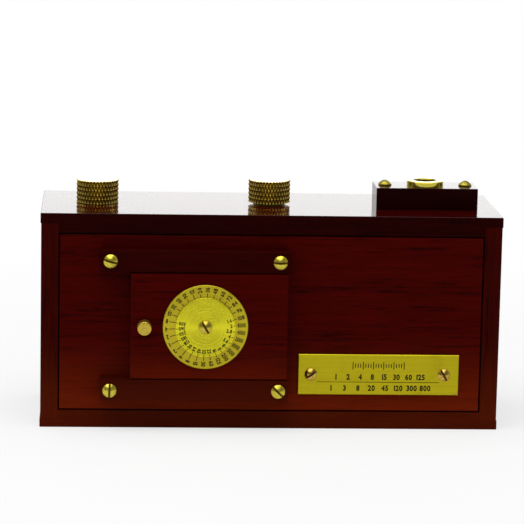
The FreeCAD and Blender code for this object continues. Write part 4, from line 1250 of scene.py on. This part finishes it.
# Node, body, facing, turns of the slots, then the head's width and height and the shank's width and length
SCREWS = (
    SlottedScrews("rail_screws", "casing", Facing.FRONT, (-15.0, 0.0, 88.0, -45.0),
                  5.1 * MM, 1.8 * MM, 2.6 * MM, 11.6 * MM, SCREW_BRASS),
    SlottedScrews("label_screws", "casing", Facing.FRONT, (35.0, -60.0),
                  4.6 * MM, 1.6 * MM, 2.2 * MM, 5.2 * MM, WARM_BRASS),
    SlottedScrews("dial_screw", "shutter", Facing.FRONT, (-60.0,),
                  4.9 * MM, 1.6 * MM, 2.8 * MM, 6.0 * MM, DIAL_BRASS),
    SlottedScrews("block_screws", "casing", Facing.UP, (8.0, -35.0),
                  5.0 * MM, 1.9 * MM, 2.6 * MM, 13.0 * MM, DARKER_SCREW_BRASS),
    SlottedScrews("cover_screw", "back", Facing.BACK, (20.0,),
                  5.0 * MM, 1.5 * MM, 2.6 * MM, 5.2 * MM, SCREW_BRASS),
)


# Studio

@dataclass
class Studio:
    """A pale floor, soft lamps and a white room behind the object."""

    floor_radius: float = 3.0
    floor_albedo: float = 0.90
    fade_start: float = 0.12
    fade_end: float = 0.40
    near_white: float = 0.65
    floor_columns: int = 96
    top_place: Tuple[float, float, float] = (-0.15, -0.25, 1.10)
    top_target: Tuple[float, float, float] = (0.0, 0.0, 0.04)
    top_size: Tuple[float, float] = (1.30, 1.30)
    top_power: float = 12.0
    back_place: Tuple[float, float, float] = (0.05, 1.3, 0.30)
    back_target: Tuple[float, float, float] = (0.0, 0.0, 0.08)
    back_size: Tuple[float, float] = (1.6, 0.22)
    back_power: float = 2.45
    ambient: float = 0.38
    room_front: float = 0.22

    def floor(self) -> None:
        """Flat disc; away from the object it turns plain white for the camera and for reflections."""
        angle = np.arange(self.floor_columns) * (2 * math.pi / self.floor_columns)
        ring = np.stack([np.cos(angle), np.sin(angle), 0.0 * angle], -1) * self.floor_radius
        mesh = bpy.data.meshes.new("studio_floor")
        mesh.from_pydata(ring.tolist(), [], [tuple(range(self.floor_columns))])
        material = bpy.data.materials.new("studio_floor")
        material.use_nodes = True
        net = Net(material.node_tree)
        here = net.node("ShaderNodeTexCoord", output="Object")
        away = net.length(here).step(self.fade_start, self.fade_end)
        seen = net.ray("Camera").largest(net.ray("Glossy")).largest(net.ray("Transmission"))
        grain = net.noise(here, 40.0)
        pale = net.blend(grain.step(0.3, 0.7), (self.floor_albedo,) * 3, (self.floor_albedo - 0.01,) * 3)
        paper = net.node("ShaderNodeBsdfDiffuse", None, {"Color": pale})
        white = net.node("ShaderNodeEmission", None, {"Color": (1, 1, 1, 1), "Strength": 1.0})
        factor = (self.near_white + (1.0 - self.near_white) * away) * seen
        net.close(net.node("ShaderNodeMixShader", None, {0: factor, 1: paper, 2: white}))
        mesh.materials.append(material)
        floor = bpy.data.objects.new("studio_floor", mesh)
        bpy.context.scene.collection.objects.link(floor)

    def lamp(self, name: str, place: Sequence[float], target: Sequence[float], size: Tuple[float, float],
             power: float) -> None:
        """Soft rectangular lamp that looks at a target and isn't seen by the camera.

        Args:
            name: Its name.
            place: Where it hangs.
            target: Where it looks.
            size: Its width and height.
            power: Its power in watts.
        """
        light = bpy.data.lights.new(name, "AREA")
        light.shape = "RECTANGLE"
        light.size, light.size_y = size
        light.energy = power
        lamp = bpy.data.objects.new(name, light)
        lamp.location = place
        lamp.rotation_euler = (Vector(target) - Vector(place)).to_track_quat("-Z", "Y").to_euler()
        lamp.visible_camera = False
        bpy.context.scene.collection.objects.link(lamp)

    def world(self) -> None:
        """White to the camera; to reflections a white wall behind the object and a dim room before it."""
        world = bpy.data.worlds.new("studio_world")
        world.use_nodes = True
        bpy.context.scene.world = world
        net = Net(world.node_tree)
        camera = net.ray("Camera")
        mirror = net.ray("Glossy").largest(net.ray("Transmission"))
        toward = net.axes(net.node("ShaderNodeTexCoord", output="Generated"))
        wall = toward[1].step(-0.35, 0.35)
        room = self.room_front + (1.0 - self.room_front) * wall
        strength = camera + (1.0 - camera) * (mirror * room + (1.0 - mirror) * self.ambient)
        light = net.node("ShaderNodeBackground", None, {"Color": (1, 1, 1, 1), "Strength": strength})
        net.close(light, "ShaderNodeOutputWorld")

    def build(self) -> None:
        """Floor, world and lamps."""
        self.floor()
        self.world()
        self.lamp("top_lamp", self.top_place, self.top_target, self.top_size, self.top_power)
        self.lamp("back_lamp", self.back_place, self.back_target, self.back_size, self.back_power)


@dataclass
class Viewpoint:
    """The camera, where the photograph was taken from, with its angles in degrees."""

    place: Tuple[float, float, float] = (-0.06141, -0.99829, 0.23383)
    heading: float = 3.396
    fall: float = 9.986
    roll: float = -1.15
    focal_pixels: float = 2688.3
    frame_pixels: float = 524.0
    sensor: float = 36.0

    def build(self) -> None:
        """Camera that looks along the heading, tipped down by the fall and rolled about its own axis."""
        turn = (Matrix.Rotation(-math.radians(self.heading), 4, "Z")
                @ Matrix.Rotation(math.radians(90.0 - self.fall), 4, "X")
                @ Matrix.Rotation(-math.radians(self.roll), 4, "Z"))
        data = bpy.data.cameras.new("view")
        data.sensor_width = self.sensor
        data.lens = self.focal_pixels / self.frame_pixels * self.sensor
        data.clip_start = 0.01
        camera = bpy.data.objects.new("view", data)
        camera.matrix_world = Matrix.Translation(self.place) @ turn
        bpy.context.scene.collection.objects.link(camera)
        bpy.context.scene.camera = camera


def main() -> None:
    """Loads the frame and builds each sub-assembly."""
    logging.basicConfig(level=logging.INFO, format="%(name)s: %(message)s")
    for left_over in list(bpy.data.objects):
        bpy.data.objects.remove(left_over)
    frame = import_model()
    bpy.context.scene.view_settings.view_transform = "Standard"
    Viewpoint().build()
    Studio().build()
    shutter = Shutter()
    plate = ExposurePlate()
    block = TripodBlock()
    for part in (Casing(), shutter, plate, FilmTransport(), Back(), block):
        part.dress(frame)
    shutter.dial.build()
    plate.build()
    block.build()
    PlungerSpring().build()
    for screws in SCREWS:
        screws.build()
    KnurledKnob("winding_knob", "winder", 3.03 * MM).build()
    KnurledKnob("lock_knob", "lock", 2.53 * MM).build()


if __name__ == "__main__":
    main()
